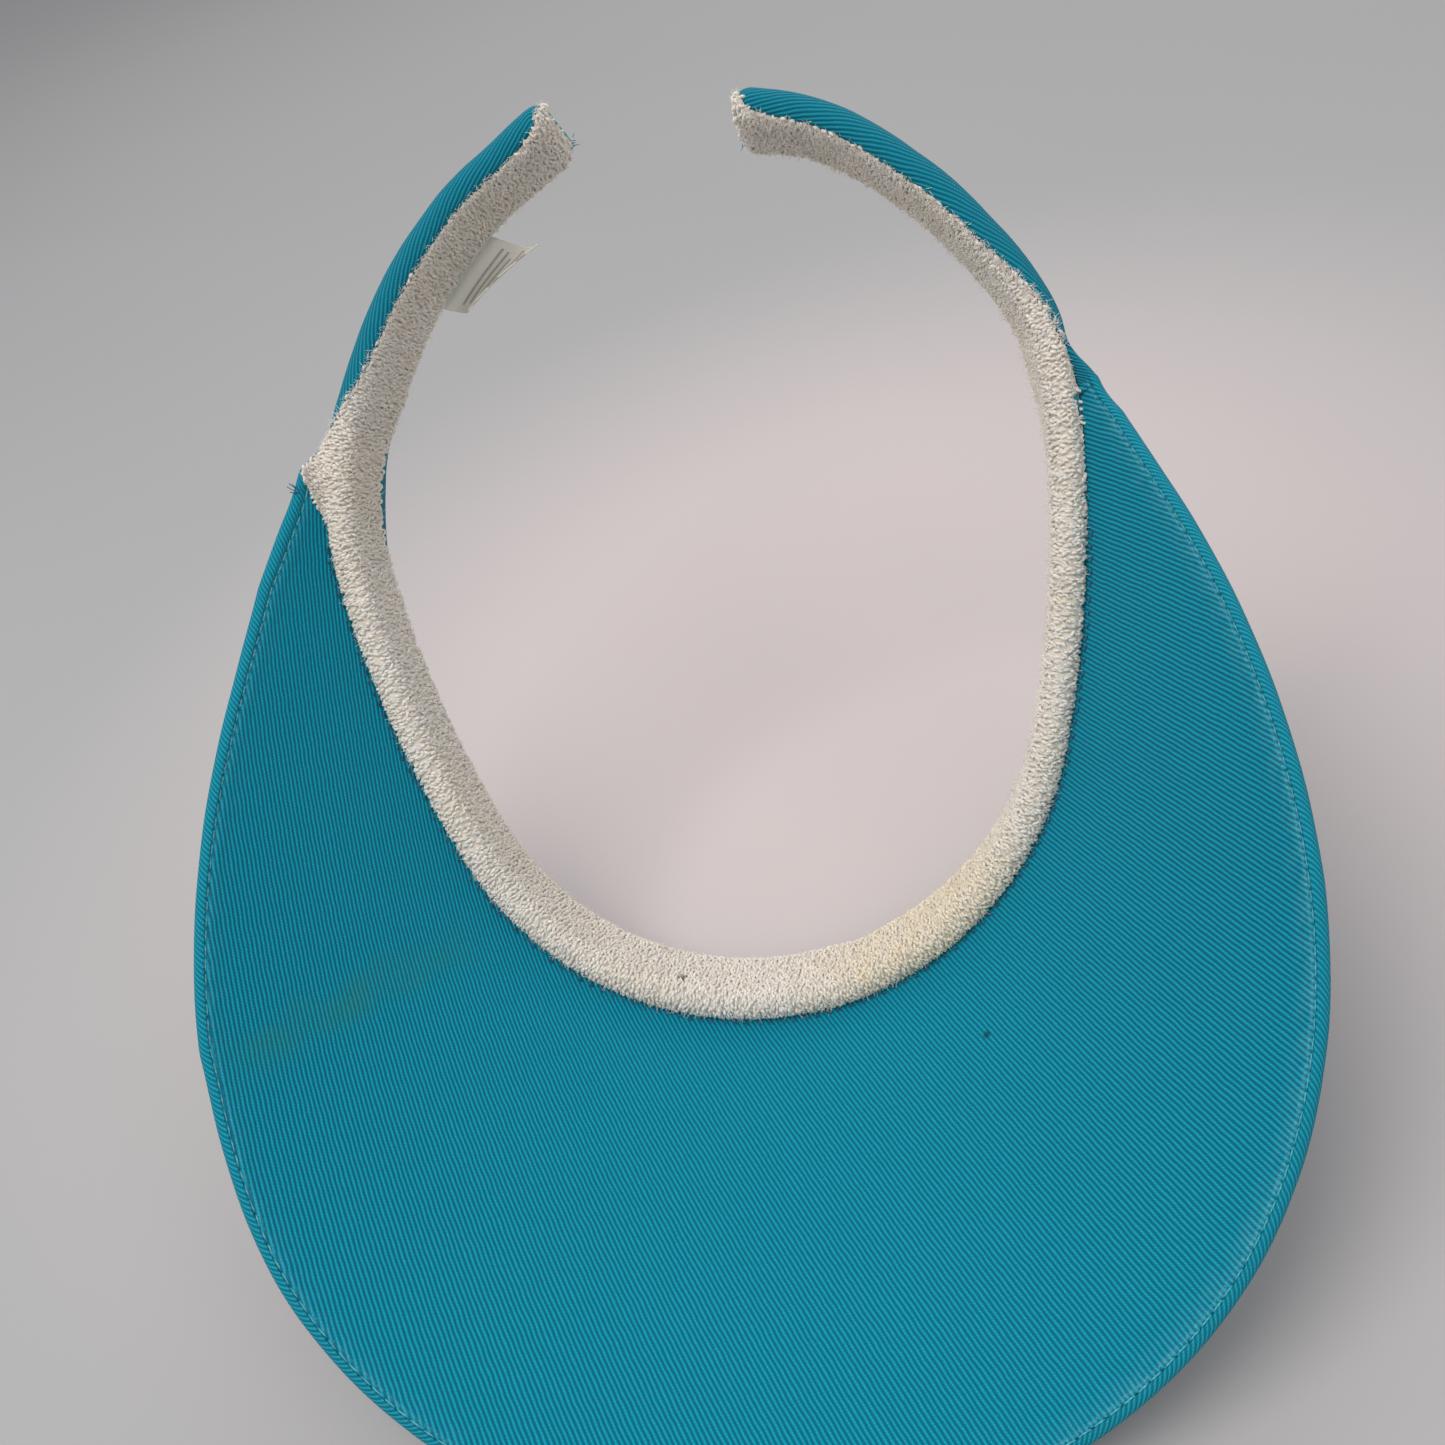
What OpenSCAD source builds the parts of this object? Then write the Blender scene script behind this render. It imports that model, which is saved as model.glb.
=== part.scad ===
// Slip-on sun visor, lying on the front of its upturned bill.
// Millimetres, +Z up, front towards -Y. The head frame below has its X to the wearer's side, Y to the
// back of the head and Z towards the bill's under side; the seam of bill and band lies in its Z = 0.

/* [Head opening] */
// Radius of the oval across the forehead
front_radius = 67; // [55:0.5:80]
// Turn of the oval where the forehead arc meets the temple arc
front_turn = 69; // [55:1:75]
// Radius of the nearly straight temple arcs
side_radius = 227; // [150:1:300]
// Turn of the oval where the temple arc meets the back arc
side_turn = 84.5; // [78:0.5:88]
// Radius of the back arcs that the arms follow
back_radius = 76; // [60:0.5:90]
// Distance of the forehead from the middle of the opening
front_reach = 80; // [70:0.5:90]
// Turn of the oval at the arm ends
arm_turn = 164; // [130:1:172]
// Turn of the oval where the arms flex
flex_turn = 103; // [100:0.5:115]

/* [Band] */
// Height of the band below the seam
band_height = 17; // [12:0.5:24]
// Thickness of the padded band
band_thick = 6.6; // [5:0.2:9]
// Lean of the band towards the head at the forehead
front_lean = 12; // [0:1:16]
// Lean of the arms towards the head
arm_lean = 6; // [0:1:10]
// Thickness of the twill of the band
twill_thick = 0.7; // [0.4:0.1:1]
// Thickness of the towelling with its loops
terry_thick = 2.2; // [1.2:0.1:2.6]
// Width of the flat spring strip
strip_width = 10; // [6:0.5:12]
// Thickness of the flat spring strip
strip_thick = 0.8; // [0.5:0.1:1.2]
// Gap left where an arm flexes
flex_gap = 1.8; // [1:0.1:3]

/* [Bill] */
// Length of the bill at its front
bill_depth = 97.5; // [60:1:120]
// Depth of the cone's tip below the seam
cone_depth = 108; // [80:1:160]
// Turn of the oval at the corners of the bill
corner_turn = 98; // [90:0.5:100]
// Thickness of each cloth cover
cloth_thick = 0.6; // [0.4:0.1:1]
// Thickness of the foam sheet
foam_thick = 1.5; // [1:0.1:3]
// Thickness of the stiffening board
board_thick = 1.2; // [0.8:0.1:2]
// Width of the edge binding
binding_width = 8; // [5:0.5:12]
// Thickness of the edge binding
binding_thick = 0.7; // [0.4:0.1:1]

/* [Sewing] */
// Length of one stitch
stitch_length = 2.6; // [1.5:0.1:4]
// Thickness of the thread
thread_thick = 0.5; // [0.3:0.1:0.8]
// Stitches along half of the bill's edge
edge_stitches = 64; // [40:1:90]
// Stitches along half of the seam
seam_stitches = 54; // [30:1:70]

/* [Label] */
// Width of the care label along the arm
label_width = 20; // [12:1:30]
// Length of the care label beyond the band
label_length = 9; // [5:1:20]
// Turn of the oval at the label's middle
label_turn = 141; // [120:1:155]

/* [Hidden] */
slip = 0.05;
c1 = [0, front_radius - front_reach];
c2 = c1 + (front_radius - side_radius) * way(front_turn);
c3 = c2 + (side_radius - back_radius) * way(side_turn);
bill_thick = 2 * cloth_thick + foam_thick + board_thick + 3 * slip;
fork = band_thick / 2;
crown_w = -band_height + fork;
roll_w = -0.9;
gap_turn = flex_gap / 2 / back_radius * 180 / PI;
edge_r = bill_thick / 2 + binding_thick + slip;
edge_at = bill_point(0, bill_depth, bill_thick / 2) - 1.2 * grain(0);
crown_at = [
  fork * cos(front_lean) - crown_w * sin(front_lean) - front_reach,
  fork * sin(front_lean) + crown_w * cos(front_lean)
];
reach_yz = [crown_at[0] - edge_at[1], edge_at[2] - crown_at[1]];
rest_tilt = atan2(reach_yz[1], reach_yz[0]) + asin((fork - edge_r) / norm(reach_yz));
lift = fork - crown_at[0] * sin(rest_tilt) - crown_at[1] * cos(rest_tilt);
shift = 37.13;
half_turns = concat(
  [for (i = [0:1:23]) i * front_turn / 24],
  [for (i = [0:1:15]) front_turn + i * (side_turn - front_turn) / 16],
  [for (i = [0:1:4]) side_turn + i * (corner_turn - side_turn) / 4]
);
turns = concat([for (i = [len(half_turns) - 1:-1:1]) -half_turns[i]], half_turns);
half_band = concat(
  [for (t = half_turns) if (t < side_turn + 0.01) t],
  [for (i = [1:1:7]) side_turn + i * (flex_turn - gap_turn - side_turn) / 7]
);
band_turns = concat([for (i = [len(half_band) - 1:-1:1]) -half_band[i]], half_band);

// Direction from an arc's middle at a turn of the oval, counted from the front.
function way(w) = [sin(w), -cos(w)];

// A point of the seam line at a turn of the oval, negative on the left.
function right_seat(w) =
  w <= front_turn ? c1 + front_radius * way(w) :
  w <= side_turn ? c2 + side_radius * way(w) : c3 + back_radius * way(w);
function seat(w) = w < 0 ? [-right_seat(-w)[0], right_seat(-w)[1]] : right_seat(w);

// Lean of the band at a turn: most at the forehead, none at the temples.
function lean(w) =
  abs(w) < 80 ? front_lean * (1 + cos(180 * abs(w) / 80)) / 2 :
  arm_lean * (1 - cos(180 * (abs(w) - 80) / (flex_turn - 80))) / 2;

// A point of the band: u outwards from the seam line, h towards the bill.
function band_point(w, u, h) =
  let (a = lean(w), p = seat(w) + (u * cos(a) + h * sin(a)) * way(w))
  [p[0], p[1], h * cos(a) - u * sin(a)];

// Straight line of the cone, and the cone's outward normal, at a turn.
function unit(v) = v / norm(v);
function grain(w) = unit([seat(w)[0], seat(w)[1], cone_depth]);
function skin(w) = unit(cross([cos(w), sin(w), 0], grain(w)));

// Length of the bill along the cone at a turn: longest at the front, closing to nothing at the corners.
function aim(w) = atan2(abs(seat(w)[0]), -seat(w)[1]);
function reach(w) =
  bill_depth * (0.379 + 0.564 * cos(aim(w)) + 0.092 * cos(2 * aim(w)) - 0.035 * cos(3 * aim(w)));

// A point of the bill: l along the cone from the seam, d through its thickness from the under side.
function bill_point(w, l, d) = concat(seat(w), [0]) + l * grain(w) + d * skin(w);

// How far a layer runs back past the seam to meet the band's outer face.
function root(w, d) =
  let (g = grain(w), s = norm([g[0], g[1]]), c = g[2], t = tan(lean(w)))
  (d * (c + s * t) - 0.35) / (s - c * t);

// Frame at the bill's edge: a tangent and the direction that leads off the bill.
function edge(w) = bill_point(w, reach(w), bill_thick / 2);
function edge_way(w) = unit(edge(w + 0.2) - edge(w - 0.2));
function edge_off(w) = cross(skin(w), edge_way(w));
function edge_point(w, b, d) = edge(w) + b * edge_off(w) + (d - bill_thick / 2) * skin(w);
function hem(w) = min(binding_width, 0.7 * reach(w));

// A closed solid through a row of matching outlines.
module sweep(rows) {
  n = len(rows[0]);
  m = len(rows);
  polyhedron(
    points = [for (r = rows) for (p = r) p],
    faces = concat(
      [for (i = [0:1:m - 2]) for (j = [0:1:n - 1]) [i * n + j, (i + 1) * n + j, i * n + (j + 1) % n]],
      [for (i = [0:1:m - 2]) for (j = [0:1:n - 1])
        [(i + 1) * n + j, (i + 1) * n + (j + 1) % n, i * n + (j + 1) % n]],
      [[for (j = [0:1:n - 1]) j]],
      [[for (j = [n - 1:-1:0]) (m - 1) * n + j]]
    )
  );
}

// Head frame to the resting part.
module rest() {
  translate([0, shift, lift])
    rotate([rest_tilt, 0, 0])
      children();
}

// One sheet of the bill between two depths, short of the edge by an inset.
module bill_sheet(d0, d1, inset) {
  rest()
    sweep([
      for (w = turns)
        if (reach(w) > inset + 2)
          [
            bill_point(w, -root(w, d0), d0),
            bill_point(w, reach(w) - inset, d0),
            bill_point(w, reach(w) - inset, d1),
            bill_point(w, -root(w, d1), d1)
          ]
    ]);
}

module bill_under_cover() {
  color([0.09, 0.52, 0.62])
    rest()
      sweep([
        for (w = turns)
          if (reach(w) > 3.2)
            [
              bill_point(w, 0.4, 0),
              bill_point(w, reach(w) - 1.2, 0),
              bill_point(w, reach(w) - 1.2, cloth_thick),
              bill_point(w, 0.4, cloth_thick)
            ]
      ]);
}

module bill_foam() {
  color([0.9, 0.9, 0.86])
    bill_sheet(cloth_thick + slip, cloth_thick + slip + foam_thick, 1.2);
}

module bill_board() {
  color([0.82, 0.82, 0.8])
    bill_sheet(
      cloth_thick + foam_thick + 2 * slip,
      cloth_thick + foam_thick + board_thick + 2 * slip,
      1.2
    );
}

module bill_top_cover() {
  color([0.09, 0.52, 0.62])
    bill_sheet(bill_thick - cloth_thick, bill_thick, 1.2);
}

// The binding's outline, folded around the bill's edge.
function binding_outline(w) =
  let (h = -hem(w), t = bill_thick, r = t / 2)
  concat(
    [[h, -binding_thick - slip]],
    [for (a = [-90:22.5:90]) [-1.2 + edge_r * cos(a), r + edge_r * sin(a)]],
    [[h, t + binding_thick + slip], [h, t + slip], [-1.1, t + slip], [-0.8, t / 2], [-1.1, -slip], [h, -slip]]
  );

module bill_edge_binding() {
  color([0.1, 0.55, 0.64])
    rest()
      sweep([for (w = turns) [for (q = binding_outline(w)) edge_point(w, q[0], q[1])]]);
}

// A stitch lying along a direction on a surface.
module stitch(at, along, up, length, thick) {
  y = unit(cross(up, along));
  z = cross(along, y);
  multmatrix([
    [along[0], y[0], z[0], at[0]],
    [along[1], y[1], z[1], at[1]],
    [along[2], y[2], z[2], at[2]],
    [0, 0, 0, 1]
  ])
    translate([-length / 2, -thick / 2, -thick / 2])
      cube([length, thick, thick]);
}

// The turns of evenly spaced stitches over one half of the oval.
function seam_run(f) =
  let (a = front_radius * front_turn, b = side_radius * (side_turn - front_turn))
  let (c = back_radius * (corner_turn - side_turn - 1), s = f * (a + b + c))
  s < a ? s / front_radius :
  s < a + b ? front_turn + (s - a) / side_radius : side_turn + (s - a - b) / back_radius;

module binding_stitches() {
  color([0.13, 0.58, 0.68])
    rest()
      for (side = [-1, 1])
        for (i = [1:1:edge_stitches]) {
          w = side * seam_run(pow((i - 0.5) / edge_stitches, 1.12) * 0.93);
          stitch(
            edge_point(w, 1.2 - hem(w), -binding_thick - 2 * slip - thread_thick / 2),
            edge_way(w),
            skin(w),
            stitch_length,
            thread_thick
          );
        }
}

module seam_stitches() {
  color([0.03, 0.22, 0.36])
    rest()
      for (side = [-1, 1])
        for (i = [1:1:seam_stitches]) {
          w = side * seam_run((i - 0.5) / seam_stitches * 0.97);
          stitch(
            bill_point(w, 0.75, -slip - thread_thick / 2),
            [cos(w), sin(w), 0],
            skin(w),
            stitch_length * 0.6,
            thread_thick
          );
        }
}

// Outlines across the band in u (outwards from the seam line) and h (towards the bill).
function bow(h, r, from, to) =
  [for (i = [0:1:8]) let (a = from + i * (to - from) / 8) [r * cos(a) - fork, h + r * sin(a)]];
cover_outline = concat(
  [[0, roll_w - 0.2]],
  bow(crown_w, fork, 0, -180),
  bow(crown_w, fork - twill_thick, -180, 0),
  [[-twill_thick, roll_w - 0.2]]
);
towelling_outline = concat(
  [[-band_thick, crown_w + 0.2]],
  bow(roll_w, fork, 180, 0),
  bow(roll_w, fork - terry_thick, 0, 180),
  [[terry_thick - band_thick, crown_w + 0.2]]
);
strip_out = -twill_thick - slip;
strip_in = strip_out - strip_thick;
strip_mid = (crown_w + roll_w) / 2;
strip_outline = [
  [strip_out, strip_mid - strip_width / 2],
  [strip_out, strip_mid + strip_width / 2],
  [strip_in, strip_mid + strip_width / 2],
  [strip_in, strip_mid - strip_width / 2]
];
core_outline = [
  [strip_out, crown_w],
  [strip_out, strip_mid - strip_width / 2 - slip],
  [strip_in - slip, strip_mid - strip_width / 2 - slip],
  [strip_in - slip, strip_mid + strip_width / 2 + slip],
  [strip_out, strip_mid + strip_width / 2 + slip],
  [strip_out, roll_w - 0.3],
  [terry_thick - band_thick + slip, roll_w - 0.3],
  [terry_thick - band_thick + slip, crown_w - 1.2],
  [-fork, crown_w - 2],
  [strip_out - 1.1, crown_w - 1.6]
];

// An outline run round the forehead and temples to the places where the arms flex.
module front_run(outline) {
  rest()
    sweep([for (w = band_turns) [for (q = outline) band_point(w, q[0], q[1])]]);
}

// An outline run along an arm's arc between two turns, mirrored to the left for side = -1.
module arc_run(from, to, side) {
  mirror([side < 0 ? 1 : 0, 0, 0])
    translate([c3[0], c3[1], 0])
      rotate([0, 0, from - 90])
        rotate_extrude(angle = to - from)
          translate([back_radius, 0])
            rotate(-arm_lean)
              children();
}

module arm_run(outline, side, short) {
  rest()
    arc_run(flex_turn + gap_turn, arm_turn - short, side)
      polygon(outline);
}

module front_spring_strip() {
  color([0.6, 0.61, 0.63])
    front_run(strip_outline);
}

module front_core() {
  color([0.86, 0.86, 0.82])
    front_run(core_outline);
}

module front_band_cover() {
  color([0.09, 0.52, 0.62])
    front_run(cover_outline);
}

module front_sweatband() {
  color([0.83, 0.81, 0.75])
    front_run(towelling_outline);
}

module left_spring_strip() {
  color([0.6, 0.61, 0.63])
    arm_run(strip_outline, -1, 3);
}

module left_arm_core() {
  color([0.86, 0.86, 0.82])
    arm_run(core_outline, -1, 1);
}

module left_arm_cover() {
  color([0.09, 0.52, 0.62])
    arm_run(cover_outline, -1, 0);
}

module left_arm_towelling() {
  color([0.83, 0.81, 0.75])
    arm_run(towelling_outline, -1, 0);
}

module right_spring_strip() {
  color([0.6, 0.61, 0.63])
    arm_run(strip_outline, 1, 3);
}

module right_arm_core() {
  color([0.86, 0.86, 0.82])
    arm_run(core_outline, 1, 1);
}

module right_arm_cover() {
  color([0.09, 0.52, 0.62])
    arm_run(cover_outline, 1, 0);
}

module right_arm_towelling() {
  color([0.83, 0.81, 0.75])
    arm_run(towelling_outline, 1, 0);
}

// A row of stitches that closes an arm's tip, lying just off its end face.
module tip_stitches(side) {
  color([0.13, 0.58, 0.68])
    rest()
      mirror([side < 0 ? 1 : 0, 0, 0])
        translate([c3[0], c3[1], 0])
          rotate([0, 0, arm_turn - 90])
            translate([back_radius, 0.1, 0])
              rotate([0, arm_lean, 0])
                for (i = [0:1:5])
                  translate([-fork - 1.1, 0, crown_w + i * 2.3])
                    cube([2.2, thread_thick, thread_thick]);
}

module left_tip_stitches() {
  tip_stitches(-1);
}

module right_tip_stitches() {
  tip_stitches(1);
}

module care_label() {
  half = label_width / 2 / back_radius * 180 / PI;
  color([0.93, 0.91, 0.84])
    rest()
      arc_run(label_turn - half, label_turn + half, -1)
        union() {
          translate([-band_thick - label_length, -band_height - 0.8])
            square([label_length + 4, 0.3]);
          translate([-band_thick - label_length, -band_height - 0.3])
            square([label_length, 0.3]);
          translate([-band_thick - label_length - 0.3, -band_height - 0.8])
            square([0.3, 0.8]);
        }
}

module label_stitches() {
  color([0.13, 0.58, 0.68])
    rest()
      mirror([1, 0, 0])
        translate([c3[0], c3[1], 0])
          for (i = [-2:1:2])
            rotate([0, 0, label_turn + 2.8 * i - 91])
              translate([back_radius, 0, 0])
                rotate([0, arm_lean, 0])
                  translate([-fork - 0.8, 0, -band_height - 0.85 - thread_thick])
                    cube([thread_thick, stitch_length, thread_thick]);
}

bill_board();
bill_foam();
bill_top_cover();
bill_under_cover();
bill_edge_binding();
binding_stitches();
front_spring_strip();
front_core();
front_band_cover();
front_sweatband();
seam_stitches();
left_spring_strip();
left_arm_core();
left_arm_cover();
left_arm_towelling();
left_tip_stitches();
care_label();
label_stitches();
right_spring_strip();
right_arm_core();
right_arm_cover();
right_arm_towelling();
right_tip_stitches();
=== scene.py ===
import math
from functools import partialmethod

import bpy
import numpy as np
from mathutils import Matrix, Vector

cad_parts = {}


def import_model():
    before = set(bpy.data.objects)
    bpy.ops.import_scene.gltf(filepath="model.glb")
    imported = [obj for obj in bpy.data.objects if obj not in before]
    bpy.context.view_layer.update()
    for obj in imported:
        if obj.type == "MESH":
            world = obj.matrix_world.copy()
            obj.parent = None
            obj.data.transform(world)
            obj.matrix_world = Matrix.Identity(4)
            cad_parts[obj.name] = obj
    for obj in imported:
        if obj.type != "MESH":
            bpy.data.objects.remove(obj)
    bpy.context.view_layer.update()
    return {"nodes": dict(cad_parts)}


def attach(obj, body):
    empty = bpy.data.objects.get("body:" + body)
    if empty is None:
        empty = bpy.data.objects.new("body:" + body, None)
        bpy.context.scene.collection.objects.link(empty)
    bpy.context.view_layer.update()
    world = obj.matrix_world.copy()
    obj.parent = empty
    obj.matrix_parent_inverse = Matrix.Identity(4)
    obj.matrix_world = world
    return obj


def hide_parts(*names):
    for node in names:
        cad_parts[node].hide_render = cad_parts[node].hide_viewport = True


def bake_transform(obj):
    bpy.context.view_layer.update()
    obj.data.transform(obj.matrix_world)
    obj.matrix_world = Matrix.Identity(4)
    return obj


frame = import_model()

# The geometry repeats part.scad's head frame, in millimetres: X to the wearer's side, Y to the back of
# the head, Z towards the bill's under side, with the seam of bill and band in Z = 0.
D = math.pi / 180
R1, W1, R2, W2, R3 = 67, 69, 227, 84.5, 76
REACH, FLEX = 80, 103
CONE, BILL = 108, 97.5
BAND, THICK, LEAN, ARM_LEAN = 17, 6.6, 12, 6
CLOTH, FOAM, BOARD, EDGE = 0.6, 1.5, 1.2, 0.7
SLIP, SHIFT = 0.05, 37.13
BACK = 2 * CLOTH + FOAM + BOARD + 3 * SLIP
FORK = THICK / 2
CROWN, ROLL = FORK - BAND, -0.9
ROUND = BACK / 2 + EDGE + SLIP
SPLIT = 94

rng = np.random.default_rng(7)


def way(w):
    return np.stack([np.sin(w * D), -np.cos(w * D)], -1)


C1 = np.array([0, R1 - REACH])
C2 = C1 + (R1 - R2) * way(np.array(W1))
C3 = C2 + (R2 - R3) * way(np.array(W2))


def unit(v):
    return v / np.linalg.norm(v, axis=-1, keepdims=True)


def seat(w):
    w = np.asarray(w, float)
    a = np.abs(w)[..., None]
    d = way(np.abs(w))
    p = np.where(a <= W1, C1 + R1 * d, np.where(a <= W2, C2 + R2 * d, C3 + R3 * d))
    p[..., 0] *= np.where(w < 0, -1, 1)
    return p


def lift_z(p, z):
    return np.concatenate([p, np.broadcast_to(np.asarray(z, float)[..., None], p.shape[:-1] + (1,))], -1)


def grain(w):
    return unit(lift_z(seat(w), np.full(np.shape(w), float(CONE))))


def skin(w):
    t = np.stack([np.cos(w * D), np.sin(w * D), np.zeros(np.shape(w))], -1)
    return unit(np.cross(t, grain(w)))


def reach(w):
    s = seat(w)
    a = np.arctan2(np.abs(s[..., 0]), -s[..., 1])
    return BILL * (0.379 + 0.564 * np.cos(a) + 0.092 * np.cos(2 * a) - 0.035 * np.cos(3 * a))


def thin(w, l):
    """The bill's thickness against the flat part's: its layers are pressed together at the rim and the corners."""
    a = np.abs(w)
    near_corner = ease(a, corner(w) - 9, corner(w) + 1)
    rim = 1 - ease(reach_seen(w) - l, 0.5, 8)
    return (1 - 0.36 * rim) * (1 - 0.34 * near_corner)


def bill(w, l, d):
    w, l, d = np.broadcast_arrays(np.asarray(w, float), l, d)
    d = d * thin(w, l)
    return lift_z(seat(w), np.zeros(w.shape)) + l[..., None] * grain(w) + d[..., None] * skin(w)


def lean(w):
    a = np.abs(w)
    low = LEAN * (1 + np.cos(np.pi * a / 80)) / 2
    high = ARM_LEAN * (1 - np.cos(np.pi * (np.clip(a, 80, FLEX) - 80) / (FLEX - 80))) / 2
    return np.where(a < 80, low, high)


def band(w, u, h):
    w, u, h = np.broadcast_arrays(np.asarray(w, float), u, h)
    a = lean(w) * D
    p = seat(w) + (u * np.cos(a) + h * np.sin(a))[..., None] * np.where(w[..., None] < 0, [-1, 1], 1) * way(np.abs(w))
    return lift_z(p, h * np.cos(a) - u * np.sin(a))


def ease(x, a, b):
    t = np.clip((x - a) / (b - a), 0, 1)
    return t * t * (3 - 2 * t)


def smooth(x, y, q):
    """A smooth curve through points."""
    x, y = np.asarray(x, float), np.asarray(y, float)
    slope = np.gradient(y, x)
    i = np.clip(np.searchsorted(x, q) - 1, 0, len(x) - 2)
    hh = x[i + 1] - x[i]
    t = np.clip((q - x[i]) / hh, 0, 1)
    return ((2 * t ** 3 - 3 * t ** 2 + 1) * y[i] + (t ** 3 - 2 * t ** 2 + t) * hh * slope[i]
            + (-2 * t ** 3 + 3 * t ** 2) * y[i + 1] + (t ** 3 - t ** 2) * hh * slope[i + 1])


# The cloth of the real bill isn't quite even: its left side is fuller, and its right corner lies lower.
CORNER_L, CORNER_R = 102.5, 90.0
END_L, END_R = 103.6, 90.6
RUN_L, RUN_R = 112.0, 101.0
ROUND_SEEN = BACK / 2 + 0.28
FULL_L = ([0, 24, 36, 48, 60, 66, 72, 78, 84, 88, 92, 98, 102.5],
          [1.1, 1.2, 1.7, 2.1, 1.7, 2.1, 4.0, 6.2, 6.5, 5.8, 5.2, 4.5, 4.9])
FULL_R = ([0, 24, 30, 42, 48, 56, 66, 72, 78, 84, 88, 92],
          [1.1, 1.3, 1.8, 2.4, 2.2, 1.6, 1.1, 1.3, 0.7, -1.7, -2.6, -1.8])


def corner(w):
    return np.where(w < 0, CORNER_L, CORNER_R)


def run_out(w):
    return np.where(w < 0, RUN_L, RUN_R)


def reach_seen(w):
    a = np.minimum(np.abs(w), corner(w))
    full = np.where(w < 0, smooth(*FULL_L, a), smooth(*FULL_R, a))
    past = np.clip((np.abs(w) - corner(w)) / (run_out(w) - corner(w)), 0, 1)
    return np.maximum(reach(a * np.sign(w)) + full, 0.8) * (1 - past) ** 1.15


def edge(w):
    return bill(w, reach_seen(w), 0.0)


def edge_frame(w):
    t = unit(edge(w + 0.2) - edge(w - 0.2))
    return t, np.cross(skin(w), t)


def edge_point(w, b, d):
    w, b, d = np.broadcast_arrays(np.asarray(w, float), b, d)
    t, off = edge_frame(w)
    return edge(w) + b[..., None] * off + (d * thin(w, reach_seen(w) + b))[..., None] * skin(w)


# The resting pose: on the front of the bill's upturned edge and of the band's crown edge.
ea = lift_z(seat(0.0), 0.0) + (BILL - 1.2) * grain(0.0) + BACK / 2 * skin(0.0)
lean_c, lean_s = math.cos(LEAN * D), math.sin(LEAN * D)
ca = [FORK * lean_c - CROWN * lean_s - REACH, FORK * lean_s + CROWN * lean_c]
ryz = [ca[0] - ea[1], ea[2] - ca[1]]
TILT = math.atan2(ryz[1], ryz[0]) + math.asin((FORK - ROUND) / math.hypot(*ryz))
LIFT = FORK - ca[0] * math.sin(TILT) - ca[1] * math.cos(TILT)
TURN = np.array([[1, 0, 0], [0, math.cos(TILT), -math.sin(TILT)], [0, math.sin(TILT), math.cos(TILT)]])


def world(p):
    return (np.asarray(p) @ TURN.T + [0, SHIFT, LIFT]) / 1000


def to_world_dir(v):
    return Vector(TURN @ np.asarray(v, float))


# ---------------------------------------------------------------- meshes


def lay(mesh, name, values, kind="FLOAT_VECTOR"):
    at = mesh.attributes.new(name, kind, "POINT")
    at.data.foreach_set("vector" if kind == "FLOAT_VECTOR" else "value", np.asarray(values, np.float32).ravel())


def made(name, points, faces, material, attributes=()):
    mesh = bpy.data.meshes.new(name)
    counts = np.array([len(f) for f in faces], np.int32)
    corners = np.concatenate(faces) if isinstance(faces, list) else faces.ravel()
    mesh.vertices.add(len(points))
    mesh.vertices.foreach_set("co", np.asarray(points, np.float32).ravel())
    mesh.loops.add(len(corners))
    mesh.loops.foreach_set("vertex_index", np.asarray(corners, np.int32))
    mesh.polygons.add(len(counts))
    mesh.polygons.foreach_set("loop_start", np.concatenate([[0], np.cumsum(counts)[:-1]]).astype(np.int32))
    mesh.polygons.foreach_set("loop_total", counts)
    mesh.update(calc_edges=True)
    mesh.validate()
    mesh.polygons.foreach_set("use_smooth", np.ones(len(mesh.polygons), bool))
    for key, values in attributes:
        lay(mesh, key, values)
    mesh.materials.append(material)
    piece = bpy.data.objects.new(name, mesh)
    bpy.context.scene.collection.objects.link(piece)
    return piece


def cloth(name, grid, material, flat, place):
    """A sheet through a grid of points in the head frame, with its flat pattern kept as an attribute."""
    n, m = grid.shape[:2]
    k = np.arange(n * m).reshape(n, m)
    faces = np.stack([k[:-1, :-1], k[1:, :-1], k[1:, 1:], k[:-1, 1:]], -1).reshape(-1, 4)
    return made(name, world(grid.reshape(-1, 3)), faces, material,
                [("flat", flat.reshape(-1, 3)), ("place", place.reshape(-1, 3))])


def tubes(name, paths, radii, side, material, sides=5, place=None):
    """Many short yarns at once: paths (n, k, 3) and radii (n, k) in millimetres, closed at both ends."""
    n, k = paths.shape[:2]
    t = np.gradient(paths, axis=1)
    t = unit(t + 1e-9)
    a = unit(np.cross(t, np.broadcast_to(side[:, None, :], t.shape)) + 1e-9)
    b = np.cross(t, a)
    turn = np.arange(sides) * 2 * np.pi / sides
    round_ = np.cos(turn)[:, None] * a[:, :, None] + np.sin(turn)[:, None] * b[:, :, None]
    ring = paths[:, :, None] + radii[:, :, None, None] * round_
    idx = np.arange(n * k * sides).reshape(n, k, sides)
    nxt = np.roll(idx, -1, 2)
    quads = np.stack([idx[:, :-1], idx[:, 1:], nxt[:, 1:], nxt[:, :-1]], -1).reshape(-1, 4)
    ends = np.concatenate([idx[:, 0, ::-1], idx[:, -1]]).reshape(-1, sides)
    if sides == 4:
        faces = np.concatenate([quads, ends])
    else:
        faces = [*quads, *ends]
    attributes = []
    if place is not None:
        attributes.append(("place", np.repeat(place, k * sides, 0)))
    return made(name, world(ring.reshape(-1, 3)), faces, material, attributes)


# ---------------------------------------------------------------- materials


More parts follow.
